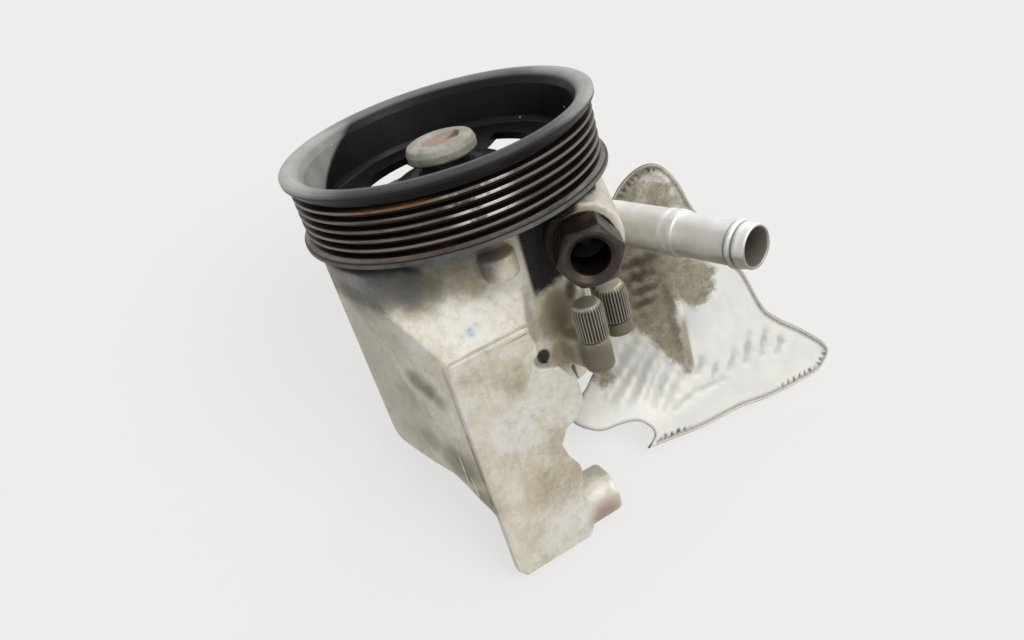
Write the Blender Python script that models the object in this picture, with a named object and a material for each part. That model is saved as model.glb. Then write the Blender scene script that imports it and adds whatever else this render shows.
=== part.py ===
# Vane-type power steering pump with a belt pulley, a bracket casting, a suction pipe and a heat shield.
# Metres, +Z up along the shaft, pulley on top. The origin is the centre of the rear cover's end face.
# Plan angles are counted in degrees from +X. The camera side of the photographed part is -Y.

import math

import bmesh
import bpy
from mathutils import Matrix, Vector

# Clearances
GAP = 0.0003             # between pieces that meet
VANE_GAP = 0.0003        # between a vane and its slot, and its tip and the cam ring

# Shaft and its stack
SHAFT_RADIUS = 0.0085
SHAFT_END_ROOM = 0.0005
BEARING_OUTER_RADIUS = 0.020
BEARING_WIDTH = 0.012
BEARING_RING_WALL = 0.0031
BALL_RADIUS = 0.0029
BALL_COUNT = 8
CAGE_WALL = 0.0028
SEAL_OUTER_RADIUS = 0.0165
SEAL_WIDTH = 0.0065
RETAINER_WIDTH = 0.0016
RETAINER_GROOVE_DEPTH = 0.0014
RETAINER_RING_DEPTH = 0.0035

# Rear cover: a plug held in the barrel by a wire ring
COVER_PAD_RADIUS = 0.0220
COVER_PAD_HEIGHT = 0.0062
COVER_PLUG_HEIGHT = 0.0072
COVER_RING_WIDTH = 0.0016
COVER_RING_REACH = 0.0014
COVER_RING_WALL = 0.0040
COVER_SEAL_RADIUS = 0.0008
BARREL_BOTTOM_Z = 0.0020

# Pump cartridge
CAVITY_RADIUS = 0.029
PLATE_THICKNESS = 0.0075
CAM_WIDTH = 0.018
CAM_SMALL_RADIUS = 0.0212
CAM_LARGE_RADIUS = 0.0238
ROTOR_RADIUS = 0.0204
VANE_COUNT = 10
VANE_THICKNESS = 0.0018
VANE_DEPTH = 0.0085
SLOT_ROOM = 0.0012
CIRCLIP_THICKNESS = 0.0012
CIRCLIP_REACH = 0.0016

# Housing casting
BARREL_RADIUS = 0.042
HOUSING_TOP_Z = 0.079
CAST_WALL = 0.005
DRUM_RADIUS = 0.0575
HOOD_BACK_ANGLE = 110.0
HOOD_LEFT_ANGLE = 190.0
CORNER_X = -0.020
CORNER_Y = -0.060
FRONT_ANGLE = 20.0
CORNER_TOP_Z = 0.042
FRONT_TOP_LENGTH = 0.0333
PANEL_TOP_ANGLE = 224.0
SHOULDER_HEIGHT = 0.012
PANEL_LEFT_X = -0.0360
PANEL_LEFT_Y = -0.0490
PANEL_LEFT_Z = 0.0650
PANEL_RIGHT_X = 0.0155
PANEL_RIGHT_Y = -0.0355
PANEL_RIGHT_Z = 0.0590
FRONT_WALL = 0.006
FRONT_PROUD = 0.0015
HOOD_STEP = 0.0010
NOSE_RISE = 0.0010
ARM_BOTTOM_Z = -0.067
LUG_RADIUS = 0.0070
LUG_X = 0.0078
LUG_Y = -0.0450
LUG_TOP_Z = 0.0725
LUG_HEIGHT = 0.0090
RIB_WALL = 0.004
POCKET_DEPTH = 0.0022
POCKET_ALONG = 0.0400
POCKET_Z = 0.0280

# Bracket bosses
UPPER_BOSS_RADIUS = 0.0120
LOWER_BOSS_RADIUS = 0.0110
BOSS_PROUD = 0.0008
BOSS_RUN_OUT = 0.0080
BOSS_BORE_RADIUS = 0.0066
BUSH_WALL = 0.0021
BUSH_LENGTH = 0.016
UPPER_BOSS_Z = 0.0055
UPPER_BOSS_START = 0.0155
UPPER_BOSS_END = 0.0472
LOWER_BOSS_Z = -0.0560
LOWER_BOSS_START = 0.0175
LOWER_BOSS_END = 0.0517

# Valve barrel and outlet union
VALVE_OUTSET = 0.0018
VALVE_Z = 0.0645
VALVE_ANGLE = -95.0
VALVE_BARREL_RADIUS = 0.0148
VALVE_FRONT = 0.0405
VALVE_BACK = 0.0380
VALVE_BORE_RADIUS = 0.0080
VALVE_BORE_BACK = 0.0280
UNION_ACROSS_FLATS = 0.0222
UNION_TURN = -25.0
UNION_HEX_LENGTH = 0.0140
UNION_SPIGOT_LENGTH = 0.0110
UNION_SPIGOT_RADIUS = 0.0098
UNION_BORE_RADIUS = 0.0071
UNION_SEAT_BORE_RADIUS = 0.0035
UNION_BORE_DEPTH = 0.0170
UNION_CHAMFER = 0.0022
WASHER_THICKNESS = 0.0015
SPOOL_LENGTH = 0.0260
SPOOL_TRAVEL = 0.0080
SPRING_WIRE_RADIUS = 0.0007
SPRING_TURNS = 5

# Suction port and pipe
PORT_Y = 0.0170
PIPE_Z = 0.0437
PORT_RADIUS = 0.0130
PORT_LENGTH = 0.0070
PORT_BORE_DEPTH = 0.0100
PIPE_RADIUS = 0.0089
PIPE_WALL = 0.0014
PIPE_ANGLE = -55.6
PIPE_BEND_RADIUS = 0.0145
PIPE_STRAIGHT = 0.0680
PIPE_COLLAR_AT = 0.0340
PIPE_COLLAR_HEIGHT = 0.0009
PIPE_BEAD_FROM_END = 0.0070
PIPE_BEAD_HEIGHT = 0.0009
PIPE_BEAD_WIDTH = 0.0028
PIPE_SPIGOT = 0.0080
PIPE_SPIGOT_RISE = 0.0004
O_RING_RADIUS = 0.0005

# Knurled cap screws
SCREW_OUTSET = 0.0147
SCREW_ANGLES = (-53.0, -36.0)
SCREW_TOPS = (0.0430, 0.0410)
SCREW_HEAD_RADIUS = 0.0061
SCREW_HEAD_HEIGHT = 0.0155
SCREW_SHANK_RADIUS = 0.0036
SCREW_SHANK_LENGTH = 0.0055
KNURL_TEETH = 20
KNURL_DEPTH = 0.0006
SCREW_BOSS_RADII = (0.0060, 0.0056)
SCREW_BOSS_HEIGHTS = (0.0135, 0.0060)

# Pulley: heights are counted from the topmost rib crest
CREST_Z = 0.103
CREST_RADIUS = 0.0593
GROOVE_PITCH = 0.00356
GROOVE_COUNT = 6
GROOVE_DEPTH = 0.0027
GROOVE_ROOT_WIDTH = 0.0009
CREST_WIDTH = 0.0008
LIP_RISE = 0.0083
LIP_RADIUS = 0.0614
LIP_WIDTH = 0.0042
CUP_RADIUS = 0.0542
CUP_FLOOR_DROP = 0.0120
WEB_THICKNESS = 0.0030
SKIRT_DROP = 0.0203
SKIRT_RADIUS = 0.0613
RIM_WALL = 0.0032
HUB_BOSS_RADIUS = 0.0200
HUB_BOSS_RISE = 0.0020
HUB_SLEEVE_RADIUS = 0.0135
HUB_SLEEVE_DROP = 0.0215
WINDOW_COUNT = 3
WINDOW_INNER_RADIUS = 0.0220
WINDOW_OUTER_RADIUS = 0.0385
WINDOW_SPAN = 58.0
WINDOW_FIRST_ANGLE = 25.0
COLLAR_RADIUS = 0.0110
COLLAR_HEIGHT = 0.0045
PULLEY_BOLT_RADIUS = 0.0140
PULLEY_BOLT_HEAD = 0.0068
PULLEY_BOLT_SHANK = 0.0045
PULLEY_BOLT_DEPTH = 0.0200
PULLEY_BOLT_DISH = 0.0014

# Heat shield: x and z of its edge, and the two folds of its sheet
SHIELD_THICKNESS = 0.0012
SHIELD_HEM_THICKNESS = 0.0026
SHIELD_HEM_WIDTH = 0.0024
SHIELD_TURN = 0.268
SHIELD_LEAN = 0.30
SHIELD_FOLD = 0.70
SHIELD_FOLD_X = 0.085
SHIELD_FOLD_SOFTNESS = 0.006
SHIELD_FOOT_X = 0.047
SHIELD_FOOT_Y = -0.021
SHIELD_FOOT_Z = -0.054
CORRUGATION_PITCH = 0.0088
CORRUGATION_HEIGHT = 0.0011
CORRUGATION_ANGLE = 38.0
SHIELD_BOLT_RADIUS = 0.0030
SHIELD_BOLT_HEAD_RADIUS = 0.0048
SHIELD_BOLT_HEAD_HEIGHT = 0.0042
SHIELD_BOLT_LENGTH = 0.0120
SHIELD_WASHER_RADIUS = 0.0064
SHIELD_WASHER_THICKNESS = 0.0012
SHIELD_POST_RADIUS = 0.0062
SHIELD_BOLT_PLACES = ((0.0505, 0.0205), (0.0495, 0.0072))

# Facets
FINE = 36
MEDIUM = 24
COARSE = 16

# Places that follow from the sizes above
VALVE_X = BARREL_RADIUS + VALVE_OUTSET
PORT_END_X = BARREL_RADIUS + PORT_LENGTH
SCREW_CIRCLE = BARREL_RADIUS + SCREW_OUTSET
PIPE_SPIGOT_RADIUS = PIPE_RADIUS + PIPE_SPIGOT_RISE
O_RING_CIRCLE = PIPE_SPIGOT_RADIUS + GAP + O_RING_RADIUS
PORT_BORE_RADIUS = O_RING_CIRCLE + O_RING_RADIUS + GAP
COVER_TOP_Z = COVER_PAD_HEIGHT + COVER_PLUG_HEIGHT
COVER_SEAL_Z = COVER_PAD_HEIGHT + COVER_PLUG_HEIGHT / 2
COVER_SEAL_CIRCLE = CAVITY_RADIUS - GAP - COVER_SEAL_RADIUS
REAR_PLATE_Z = COVER_TOP_Z + GAP
SHAFT_BOTTOM_Z = REAR_PLATE_Z + SHAFT_END_ROOM
CAM_Z = REAR_PLATE_Z + PLATE_THICKNESS + GAP
FRONT_PLATE_Z = CAM_Z + CAM_WIDTH + GAP
CAVITY_TOP_Z = FRONT_PLATE_Z + PLATE_THICKNESS + GAP
BEARING_BOTTOM_Z = HOUSING_TOP_Z - RETAINER_WIDTH - BEARING_WIDTH - 0.004
SEAL_Z = BEARING_BOTTOM_Z - SEAL_WIDTH - 3 * GAP
BEARING_MIDDLE_Z = BEARING_BOTTOM_Z + BEARING_WIDTH / 2
BALL_CIRCLE = (SHAFT_RADIUS + GAP + BEARING_OUTER_RADIUS) / 2
BEARING_INNER_FACE = SHAFT_RADIUS + GAP + BEARING_RING_WALL
BEARING_OUTER_FACE = BEARING_OUTER_RADIUS - BEARING_RING_WALL
BEARING_GAP_HALF = (BEARING_OUTER_FACE - BEARING_INNER_FACE) / 2
PULLEY_FLOOR_Z = CREST_Z - CUP_FLOOR_DROP
HUB_TOP_Z = PULLEY_FLOOR_Z + HUB_BOSS_RISE
SHAFT_TOP_Z = HUB_TOP_Z - 2 * GAP
COLLAR_Z = HUB_TOP_Z + GAP
BOLT_HEAD_Z = COLLAR_Z + COLLAR_HEIGHT + GAP


def polar(radius, degrees, z=0.0):
    angle = math.radians(degrees)
    return Vector((radius * math.cos(angle), radius * math.sin(angle), z))


def material(name, colour, roughness, metallic):
    made = bpy.data.materials.new(name)
    made.use_nodes = True
    shader = made.node_tree.nodes["Principled BSDF"]
    shader.inputs["Base Color"].default_value = (*colour, 1.0)
    shader.inputs["Roughness"].default_value = roughness
    shader.inputs["Metallic"].default_value = metallic
    made.diffuse_color = (*colour, 1.0)
    return made


def place(name, bm, finish, matrix=None):
    # turns a bmesh into an object, with its own copy of the transform kept on the object
    bmesh.ops.recalc_face_normals(bm, faces=bm.faces)
    mesh = bpy.data.meshes.new(name)
    bm.to_mesh(mesh)
    bm.free()
    mesh.shade_smooth()
    mesh.set_sharp_from_angle(angle=math.radians(30))
    if finish:
        mesh.materials.append(finish)
    made = bpy.data.objects.new(name, mesh)
    bpy.context.scene.collection.objects.link(made)
    if matrix:
        made.matrix_world = matrix
    return made


def frame_at(point, axis):
    # a frame whose local Z runs along the axis
    turn = Vector(axis).normalized().to_track_quat("Z", "Y")
    return Matrix.Translation(Vector(point)) @ turn.to_matrix().to_4x4()


def turned(profile, segments):
    # revolves (radius, z) points about Z: a closed ring, or a solid whose ends lie on the axis
    bm = bmesh.new()
    rings = []
    for radius, z in profile:
        if radius < 1e-7:
            rings.append([bm.verts.new((0, 0, z))])
        else:
            ring = [bm.verts.new(polar(radius, 360.0 * i / segments, z)) for i in range(segments)]
            rings.append(ring)
    for low, high in zip(rings, rings[1:] + rings[:1]):
        if len(low) == 1 and len(high) == 1:
            continue
        for i in range(segments):
            j = (i + 1) % segments
            loop = [low[i % len(low)], low[j % len(low)], high[j % len(high)], high[i % len(high)]]
            bm.faces.new(list(dict.fromkeys(loop)))
    return bm


def tube(inner, outer, z0, z1, segments=MEDIUM):
    return turned([(outer, z0), (outer, z1), (inner, z1), (inner, z0)], segments)


def rod(radius, z0, z1, segments=MEDIUM):
    return turned([(0, z0), (radius, z0), (radius, z1), (0, z1)], segments)


def prism(outline, z0, z1):
    bm = bmesh.new()
    low = [bm.verts.new((x, y, z0)) for x, y in outline]
    high = [bm.verts.new((x, y, z1)) for x, y in outline]
    bm.faces.new(low)
    bm.faces.new(list(reversed(high)))
    for i in range(len(outline)):
        j = (i + 1) % len(outline)
        bm.faces.new((low[i], high[i], high[j], low[j]))
    return bm


def hull(points):
    bm = bmesh.new()
    for point in points:
        bm.verts.new(point)
    made = bmesh.ops.convex_hull(bm, input=bm.verts)
    spare = [v for v in made["geom_interior"] + made["geom_unused"] if isinstance(v, bmesh.types.BMVert)]
    bmesh.ops.delete(bm, geom=list(set(spare)), context="VERTS")
    return bm


def box(x0, x1, y0, y1, z0, z1):
    return prism([(x0, y0), (x1, y0), (x1, y1), (x0, y1)], z0, z1)


def merge(parts):
    # one mesh of several loose solids
    whole = bmesh.new()
    for part, matrix in parts:
        part.transform(matrix)
        mesh = bpy.data.meshes.new("loose")
        part.to_mesh(mesh)
        part.free()
        whole.from_mesh(mesh)
        bpy.data.meshes.remove(mesh)
    return whole


def boolean(target, operation, bm, matrix=None):
    # joins or cuts with a hidden tool body
    tool = place(target.name + "_tool", bm, None, matrix)
    tool.hide_render = True
    tool.display_type = "WIRE"
    tool.hide_set(True)
    modifier = target.modifiers.new(operation.lower(), "BOOLEAN")
    modifier.operation = operation
    modifier.solver = "EXACT"
    modifier.object = tool


def join(target, bm, matrix=None):
    boolean(target, "UNION", bm, matrix)


def cut(target, bm, matrix=None):
    boolean(target, "DIFFERENCE", bm, matrix)


def hexagon(across_flats):
    return [tuple(polar(across_flats / math.sqrt(3), 60 * i + 30)[:2]) for i in range(6)]


# The bracket's front wall runs along frontDirection from the sharp corner edge

front_direction = polar(1.0, FRONT_ANGLE)
front_inward = Vector((-front_direction.y, front_direction.x, 0))
corner = Vector((CORNER_X, CORNER_Y, 0))


def front_frame(along, z, inward):
    # local Z along the front wall, for the bracket's bolt bosses
    return frame_at(corner + front_direction * along + front_inward * inward + Vector((0, 0, z)), front_direction)


def hood_points(inset, bottom_z):
    # corners of the hood between the drum, the sloped panel and the front wall, moved in by the wall thickness
    radius = DRUM_RADIUS - inset
    top = HOUSING_TOP_Z - NOSE_RISE - inset
    span = HOOD_LEFT_ANGLE - HOOD_BACK_ANGLE
    arc = [polar(radius, HOOD_BACK_ANGLE + span * i / 10) for i in range(11)]
    side = (corner - polar(DRUM_RADIUS, HOOD_LEFT_ANGLE)).normalized()
    side_inward = Vector((-side.y, side.x, 0))
    # the hood's corner is set back from the front wall's face, and its inner corner lies one wall further in
    back = HOOD_STEP + inset
    across = side_inward.x * front_inward.y - side_inward.y * front_inward.x
    inner = corner + Vector((
        front_inward.y * inset - side_inward.y * back,
        side_inward.x * back - front_inward.x * inset,
        0,
    )) / across
    front_end = inner + front_direction * (FRONT_TOP_LENGTH - 2 * inset)
    panel_left = Vector((PANEL_LEFT_X, PANEL_LEFT_Y, PANEL_LEFT_Z)) + (side_inward + front_inward) * inset * 0.7
    panel_left.z -= inset * 0.6
    panel_right = Vector((PANEL_RIGHT_X, PANEL_RIGHT_Y, PANEL_RIGHT_Z)) + front_inward * inset * 0.6
    panel_right += front_direction * -inset
    panel_right.z -= inset * 0.6
    panel_drop = Vector((0, 0, CORNER_TOP_Z - HOOD_STEP - inset * 0.5))
    # the drum goes on round above the side wall, up to the panel's top edge
    last = PANEL_TOP_ANGLE - HOOD_LEFT_ANGLE
    shoulder = [polar(radius, HOOD_LEFT_ANGLE + last * (i + 1) / 6, top) for i in range(6)]
    shoulder += [polar(radius, HOOD_LEFT_ANGLE + last * (i + 1) / 6, top - SHOULDER_HEIGHT * (1 - i / 6)) for i in range(5)]
    points = [p + Vector((0, 0, z)) for p in arc for z in (top, bottom_z)]
    points += [inner + panel_drop, inner + Vector((0, 0, bottom_z))]
    points += [front_end + panel_drop, front_end + Vector((0, 0, bottom_z))]
    points += [panel_left, panel_right]
    points += shoulder
    return points


def front_profile():
    # the front wall seen square on, as distance from the corner edge and height; the cast edge beside the bosses
    # is left as it broke from the mould
    top = CORNER_TOP_Z
    upper = UPPER_BOSS_Z
    lower = LOWER_BOSS_Z
    edge = FRONT_TOP_LENGTH
    end = UPPER_BOSS_END - 0.0006
    return [
        (-FRONT_PROUD, ARM_BOTTOM_Z + 0.004),
        (FRONT_PROUD, ARM_BOTTOM_Z),
        (edge + 0.0010, ARM_BOTTOM_Z),
        (edge + 0.0035, lower - 0.0045),
        (edge + 0.0008, lower + 0.0015),
        (edge + 0.0042, lower + 0.0060),
        (edge + 0.0016, lower + 0.0105),
        (edge + 0.0046, lower + 0.0195),
        (edge + 0.0050, lower + 0.0265),
        (edge + 0.0018, lower + 0.0325),
        (edge - 0.0002, upper - 0.0210),
        (edge + 0.0035, upper - 0.0145),
        (edge + 0.0090, upper - 0.0125),
        (end - 0.0003, upper - 0.0086),
        (end, upper - 0.0040),
        (end - 0.0009, upper + 0.0055),
        (end - 0.0052, upper + 0.0138),
        (edge + 0.0030, upper + 0.0158),
        (edge - 0.0004, upper + 0.0172),
        (edge - 0.0018, upper + 0.0215),
        (edge + 0.0012, upper + 0.0235),
        (edge + 0.0018, upper + 0.0275),
        (edge, upper + 0.0330),
        (edge, top),
        (-FRONT_PROUD * 0.2, top),
        (-FRONT_PROUD, top - 0.006),
    ]


def upright(profile, depth, start=0.0):
    # a plate from a front-wall profile, its thickness running inward
    bm = bmesh.new()
    rows = []
    for inward in (start, depth):
        rows.append([
            bm.verts.new(corner + front_direction * s + front_inward * inward + Vector((0, 0, z)))
            for s, z in profile
        ])
    near, far = rows
    bm.faces.new(near)
    bm.faces.new(list(reversed(far)))
    for i in range(len(profile)):
        j = (i + 1) % len(profile)
        bm.faces.new((near[i], far[i], far[j], near[j]))
    return bm


def side_skirt_cutter():
    # takes away what lies below the left wall's lower edge, square to that wall
    start = polar(DRUM_RADIUS, HOOD_LEFT_ANGLE)
    side = (corner - start).normalized()
    outward = Vector((side.y, -side.x, 0))
    length = (corner - start).length
    edge = [
        (-0.120, 0.022),
        (-0.030, 0.010),
        (-0.006, -0.001),
        (0.006, -0.012),
        (0.024, -0.0160),
        (0.040, -0.0180),
        (length - 0.010, -0.0280),
        (length + 0.060, -0.0900),
        (length + 0.060, -0.2000),
        (-0.120, -0.2000),
    ]
    bm = bmesh.new()
    rows = []
    for reach in (0.060, -0.220):
        rows.append([bm.verts.new(start + side * w + outward * reach + Vector((0, 0, z))) for w, z in edge])
    near, far = rows
    bm.faces.new(near)
    bm.faces.new(list(reversed(far)))
    for i in range(len(edge)):
        j = (i + 1) % len(edge)
        bm.faces.new((near[i], far[i], far[j], near[j]))
    return bm


def side_pocket():
    # the shallow cast pocket below the panel's left border
    start = polar(DRUM_RADIUS, HOOD_LEFT_ANGLE)
    side = (corner - start).normalized()
    outward = Vector((side.y, -side.x, 0))
    bm = bmesh.new()
    rows = []
    for reach, shrink in ((0.012, 1.30), (0.0015 - POCKET_DEPTH, 0.75)):
        rows.append([
            bm.verts.new(start + side * (POCKET_ALONG + w * shrink) + outward * reach + Vector((0, 0, POCKET_Z + z * shrink)))
            for w, z in ((-0.011, 0.0035), (-0.004, -0.0035), (0.009, -0.0075), (0.012, -0.003), (0.002, 0.002))
        ])
    near, far = rows
    bm.faces.new(near)
    bm.faces.new(list(reversed(far)))
    for i in range(len(near)):
        j = (i + 1) % len(near)
        bm.faces.new((near[i], far[i], far[j], near[j]))
    return bm


valve_direction = polar(1.0, VALVE_ANGLE)
valve_middle = Vector((VALVE_X, 0, VALVE_Z))


def valve_frame():
    # local Z along the valve axis, positive towards the outlet
    return frame_at(valve_middle, valve_direction)


def screw_place(i):
    return polar(SCREW_CIRCLE, SCREW_ANGLES[i], SCREW_TOPS[i] - SCREW_HEAD_HEIGHT - GAP)


def shield_y(x, z):
    # mid-surface of the sheet: a leaning plane that folds back behind the pump
    rise = z - SHIELD_FOOT_Z
    blend = min(1.0, max(0.0, (rise - 0.007) / 0.050))
    blend = blend * blend * (3 - 2 * blend)
    bend = SHIELD_FOLD_SOFTNESS * math.log1p(math.exp((SHIELD_FOLD_X - x) / SHIELD_FOLD_SOFTNESS))
    return SHIELD_FOOT_Y + SHIELD_TURN * (x - SHIELD_FOOT_X) + SHIELD_LEAN * rise + SHIELD_FOLD * bend * blend


def shield_normal(x, z):
    # unit normal of the sheet, facing the pump's front
    step = 0.0005
    along = (shield_y(x + step, z) - shield_y(x - step, z)) / (2 * step)
    up = (shield_y(x, z + step) - shield_y(x, z - step)) / (2 * step)
    return Vector((along, -1.0, up)).normalized()


def shield_point(x, z):
    return Vector((x, shield_y(x, z), z))


def shield_bolt_frames():
    # one frame for each bolt: on the sheet, local Z pointing away from the pump
    frames = []
    for x, z in SHIELD_BOLT_PLACES:
        frames.append(frame_at(shield_point(x, z), -shield_normal(x, z)))
    return frames


def make_housing(finish):
    housing = place("pump_housing", hull(hood_points(0.0, -0.045)), finish)
    cut(housing, hull(hood_points(CAST_WALL, -0.080)))
    cut(housing, side_skirt_cutter())
    cut(housing, side_pocket())
    # the hood's right wall ends above the gap beside the front wall
    gap_cut = upright([(0.012, CORNER_TOP_Z - 0.011), (0.012, -0.1), (0.09, -0.1), (0.09, CORNER_TOP_Z - 0.011)], 0.150)
    cut(housing, gap_cut)
    join(housing, upright(front_profile(), FRONT_WALL))
    join(housing, rod(BARREL_RADIUS, BARREL_BOTTOM_Z, HOUSING_TOP_Z, FINE))
    lug = rod(LUG_RADIUS, LUG_TOP_Z - LUG_HEIGHT, LUG_TOP_Z, COARSE)
    join(housing, lug, Matrix.Translation((LUG_X, LUG_Y, 0)))
    for degrees in (140.0, 175.0):
        rib = box(BARREL_RADIUS - 0.004, DRUM_RADIUS - 0.002, -RIB_WALL / 2, RIB_WALL / 2, 0.018, HOUSING_TOP_Z - 0.002)
        join(housing, rib, Matrix.Rotation(math.radians(degrees), 4, "Z"))
    add_bracket_bosses(housing)
    add_valve_barrel(housing)
    add_suction_port(housing)
    add_screw_bosses(housing)
    add_shield_posts(housing)
    cut_cavity(housing)
    # the exact solver drops faces where the casting's walls meet at shallow angles
    for modifier in housing.modifiers:
        modifier.solver = "MANIFOLD"
    return housing


def add_bracket_bosses(housing):
    bosses = (
        (UPPER_BOSS_RADIUS, UPPER_BOSS_Z, UPPER_BOSS_START, UPPER_BOSS_END),
        (LOWER_BOSS_RADIUS, LOWER_BOSS_Z, LOWER_BOSS_START, LOWER_BOSS_END),
    )
    for radius, z, start, end in bosses:
        length = end - start
        body = turned([
            (0, -BOSS_RUN_OUT),
            (radius * 0.7, -BOSS_RUN_OUT),
            (radius, BOSS_RUN_OUT * 1.4),
            (radius, length),
            (0, length),
        ], COARSE)
        join(housing, body, front_frame(start, z, radius - BOSS_PROUD))
    for radius, z, start, end in bosses:
        hole = rod(BOSS_BORE_RADIUS, -0.004, end - start + 0.004, COARSE)
        cut(housing, hole, front_frame(start, z, radius - BOSS_PROUD))
    # behind the front wall: a web to the barrel, and a rib down the arm
    join(housing, upright([(0.012, 0.020), (0.031, 0.020), (0.031, 0.040), (0.012, 0.040)], 0.014, 0.003))
    rib = hull([
        corner + front_direction * s + front_inward * depth + Vector((0, 0, z))
        for s, z, reach in ((0.004, -0.058, 0.010), (0.009, -0.058, 0.010), (0.004, 0.030, 0.020), (0.009, 0.030, 0.020))
        for depth in (0.003, reach)
    ])
    join(housing, rib)


def add_valve_barrel(housing):
    join(housing, rod(VALVE_BARREL_RADIUS, -VALVE_BACK, VALVE_FRONT, MEDIUM), valve_frame())
    seat = UNION_SPIGOT_LENGTH + GAP
    cut(housing, rod(VALVE_BORE_RADIUS, -VALVE_BORE_BACK, VALVE_FRONT + 0.01, COARSE), valve_frame())
    cut(housing, rod(UNION_SPIGOT_RADIUS + GAP, VALVE_FRONT - seat, VALVE_FRONT + 0.01, COARSE), valve_frame())


def add_suction_port(housing):
    base = Matrix.Translation((0, PORT_Y, PIPE_Z)) @ Matrix.Rotation(math.radians(90), 4, "Y")
    join(housing, rod(PORT_RADIUS, BARREL_RADIUS - 0.012, PORT_END_X, COARSE), base)
    cut(housing, rod(PORT_BORE_RADIUS, PORT_END_X - PORT_BORE_DEPTH, PORT_END_X + 0.01, COARSE), base)
    cut(housing, rod(PORT_BORE_RADIUS * 0.6, CAVITY_RADIUS * 0.7, PORT_END_X, COARSE), base)


def add_screw_bosses(housing):
    for i in range(len(SCREW_ANGLES)):
        seat = screw_place(i)
        low = seat.z - SCREW_BOSS_HEIGHTS[i]
        join(housing, rod(SCREW_BOSS_RADII[i], low, seat.z, COARSE), Matrix.Translation((seat.x, seat.y, 0)))
        arm = box(BARREL_RADIUS - 0.005, SCREW_CIRCLE, -0.0045, 0.0045, low + 0.0005, seat.z - 0.0006)
        join(housing, arm, Matrix.Rotation(math.radians(SCREW_ANGLES[i]), 4, "Z"))
        hole = rod(SCREW_SHANK_RADIUS + GAP, low - 0.01, seat.z + 0.01, COARSE)
        cut(housing, hole, Matrix.Translation((seat.x, seat.y, 0)))


def add_shield_posts(housing):
    # each post runs from inside the barrel to just short of the sheet
    for frame in shield_bolt_frames():
        tip = frame @ Vector((0, 0, -SHIELD_THICKNESS / 2 - CORRUGATION_HEIGHT - GAP))
        root = Vector((tip.x, tip.y, 0)).normalized() * (BARREL_RADIUS - 0.006)
        root.z = max(tip.z, BARREL_BOTTOM_Z + SHIELD_POST_RADIUS + 0.001)
        inner = frame @ Vector((0, 0, -0.012))
        join(housing, rod(SHIELD_POST_RADIUS, -0.012, -(SHIELD_THICKNESS / 2 + CORRUGATION_HEIGHT + GAP), COARSE), frame)
        run = inner - root
        join(housing, rod(SHIELD_POST_RADIUS * 0.9, 0, run.length + 0.002, COARSE), frame_at(root, run))
        cut(housing, rod(SHIELD_BOLT_RADIUS + GAP, -0.0135, 0.005, COARSE), frame)


def cut_cavity(housing):
    cut(housing, rod(CAVITY_RADIUS, BARREL_BOTTOM_Z - 0.02, CAVITY_TOP_Z, FINE))
    cut(housing, rod(SHAFT_RADIUS + 0.001, CAVITY_TOP_Z - 0.005, HOUSING_TOP_Z, MEDIUM))
    cut(housing, rod(SEAL_OUTER_RADIUS + GAP, SEAL_Z - GAP, HOUSING_TOP_Z, MEDIUM))
    cut(housing, rod(BEARING_OUTER_RADIUS + GAP, BEARING_BOTTOM_Z - GAP, HOUSING_TOP_Z + 0.01, MEDIUM))
    groove = BEARING_BOTTOM_Z + BEARING_WIDTH + GAP
    ring = BEARING_OUTER_RADIUS + GAP + RETAINER_GROOVE_DEPTH
    cut(housing, rod(ring, groove, groove + RETAINER_WIDTH + 2 * GAP, MEDIUM))
    ring_z = COVER_PAD_HEIGHT - 2 * GAP - COVER_RING_WIDTH
    cut(housing, rod(CAVITY_RADIUS + COVER_RING_REACH, ring_z, COVER_PAD_HEIGHT, FINE))


def make_cover(finish, ring_finish, seal_finish):
    plug = CAVITY_RADIUS - GAP
    groove = COVER_SEAL_RADIUS + GAP
    place("rear_cover", turned([
        (0, 0),
        (COVER_PAD_RADIUS - 0.001, 0),
        (COVER_PAD_RADIUS, 0.001),
        (COVER_PAD_RADIUS, COVER_PAD_HEIGHT),
        (plug, COVER_PAD_HEIGHT),
        (plug, COVER_SEAL_Z - groove),
        (plug - 2 * groove, COVER_SEAL_Z - groove),
        (plug - 2 * groove, COVER_SEAL_Z + groove),
        (plug, COVER_SEAL_Z + groove),
        (plug, COVER_TOP_Z),
        (0, COVER_TOP_Z),
    ], FINE), finish)
    ring_z = COVER_PAD_HEIGHT - GAP - COVER_RING_WIDTH
    outer = CAVITY_RADIUS + COVER_RING_REACH - GAP
    ring = place("cover_retaining_ring", tube(outer - COVER_RING_WALL, outer, ring_z, ring_z + COVER_RING_WIDTH, FINE),
                 ring_finish)
    opening = box(0, outer + 0.01, -0.004, 0.004, ring_z - 0.001, ring_z + COVER_RING_WIDTH + 0.001)
    cut(ring, opening, Matrix.Rotation(math.radians(90), 4, "Z"))
    seal = bmesh.new()
    add_torus(seal, COVER_SEAL_CIRCLE, COVER_SEAL_RADIUS)
    place("cover_o_ring", seal, seal_finish, Matrix.Translation((0, 0, COVER_SEAL_Z)))


def hex_bolt(name, head_radius, head_height, shank_radius, shank_length, finish, matrix):
    # flanged hexagon head below its local z = 0, shank above it
    flange = head_height * 0.25
    bolt = place(name, prism(hexagon(head_radius * 1.6), -head_height, -flange * 0.5), finish, matrix)
    join(bolt, turned([
        (0, -flange),
        (head_radius, -flange * 0.7),
        (head_radius, 0),
        (shank_radius, 0),
        (shank_radius, shank_length),
        (0, shank_length),
    ], 16), matrix)


def cam_radius(degrees):
    # two lobes, so two vanes opposite each other reach out together
    share = (1 - math.cos(math.radians(2 * degrees))) / 2
    return CAM_SMALL_RADIUS + (CAM_LARGE_RADIUS - CAM_SMALL_RADIUS) * share


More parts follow.
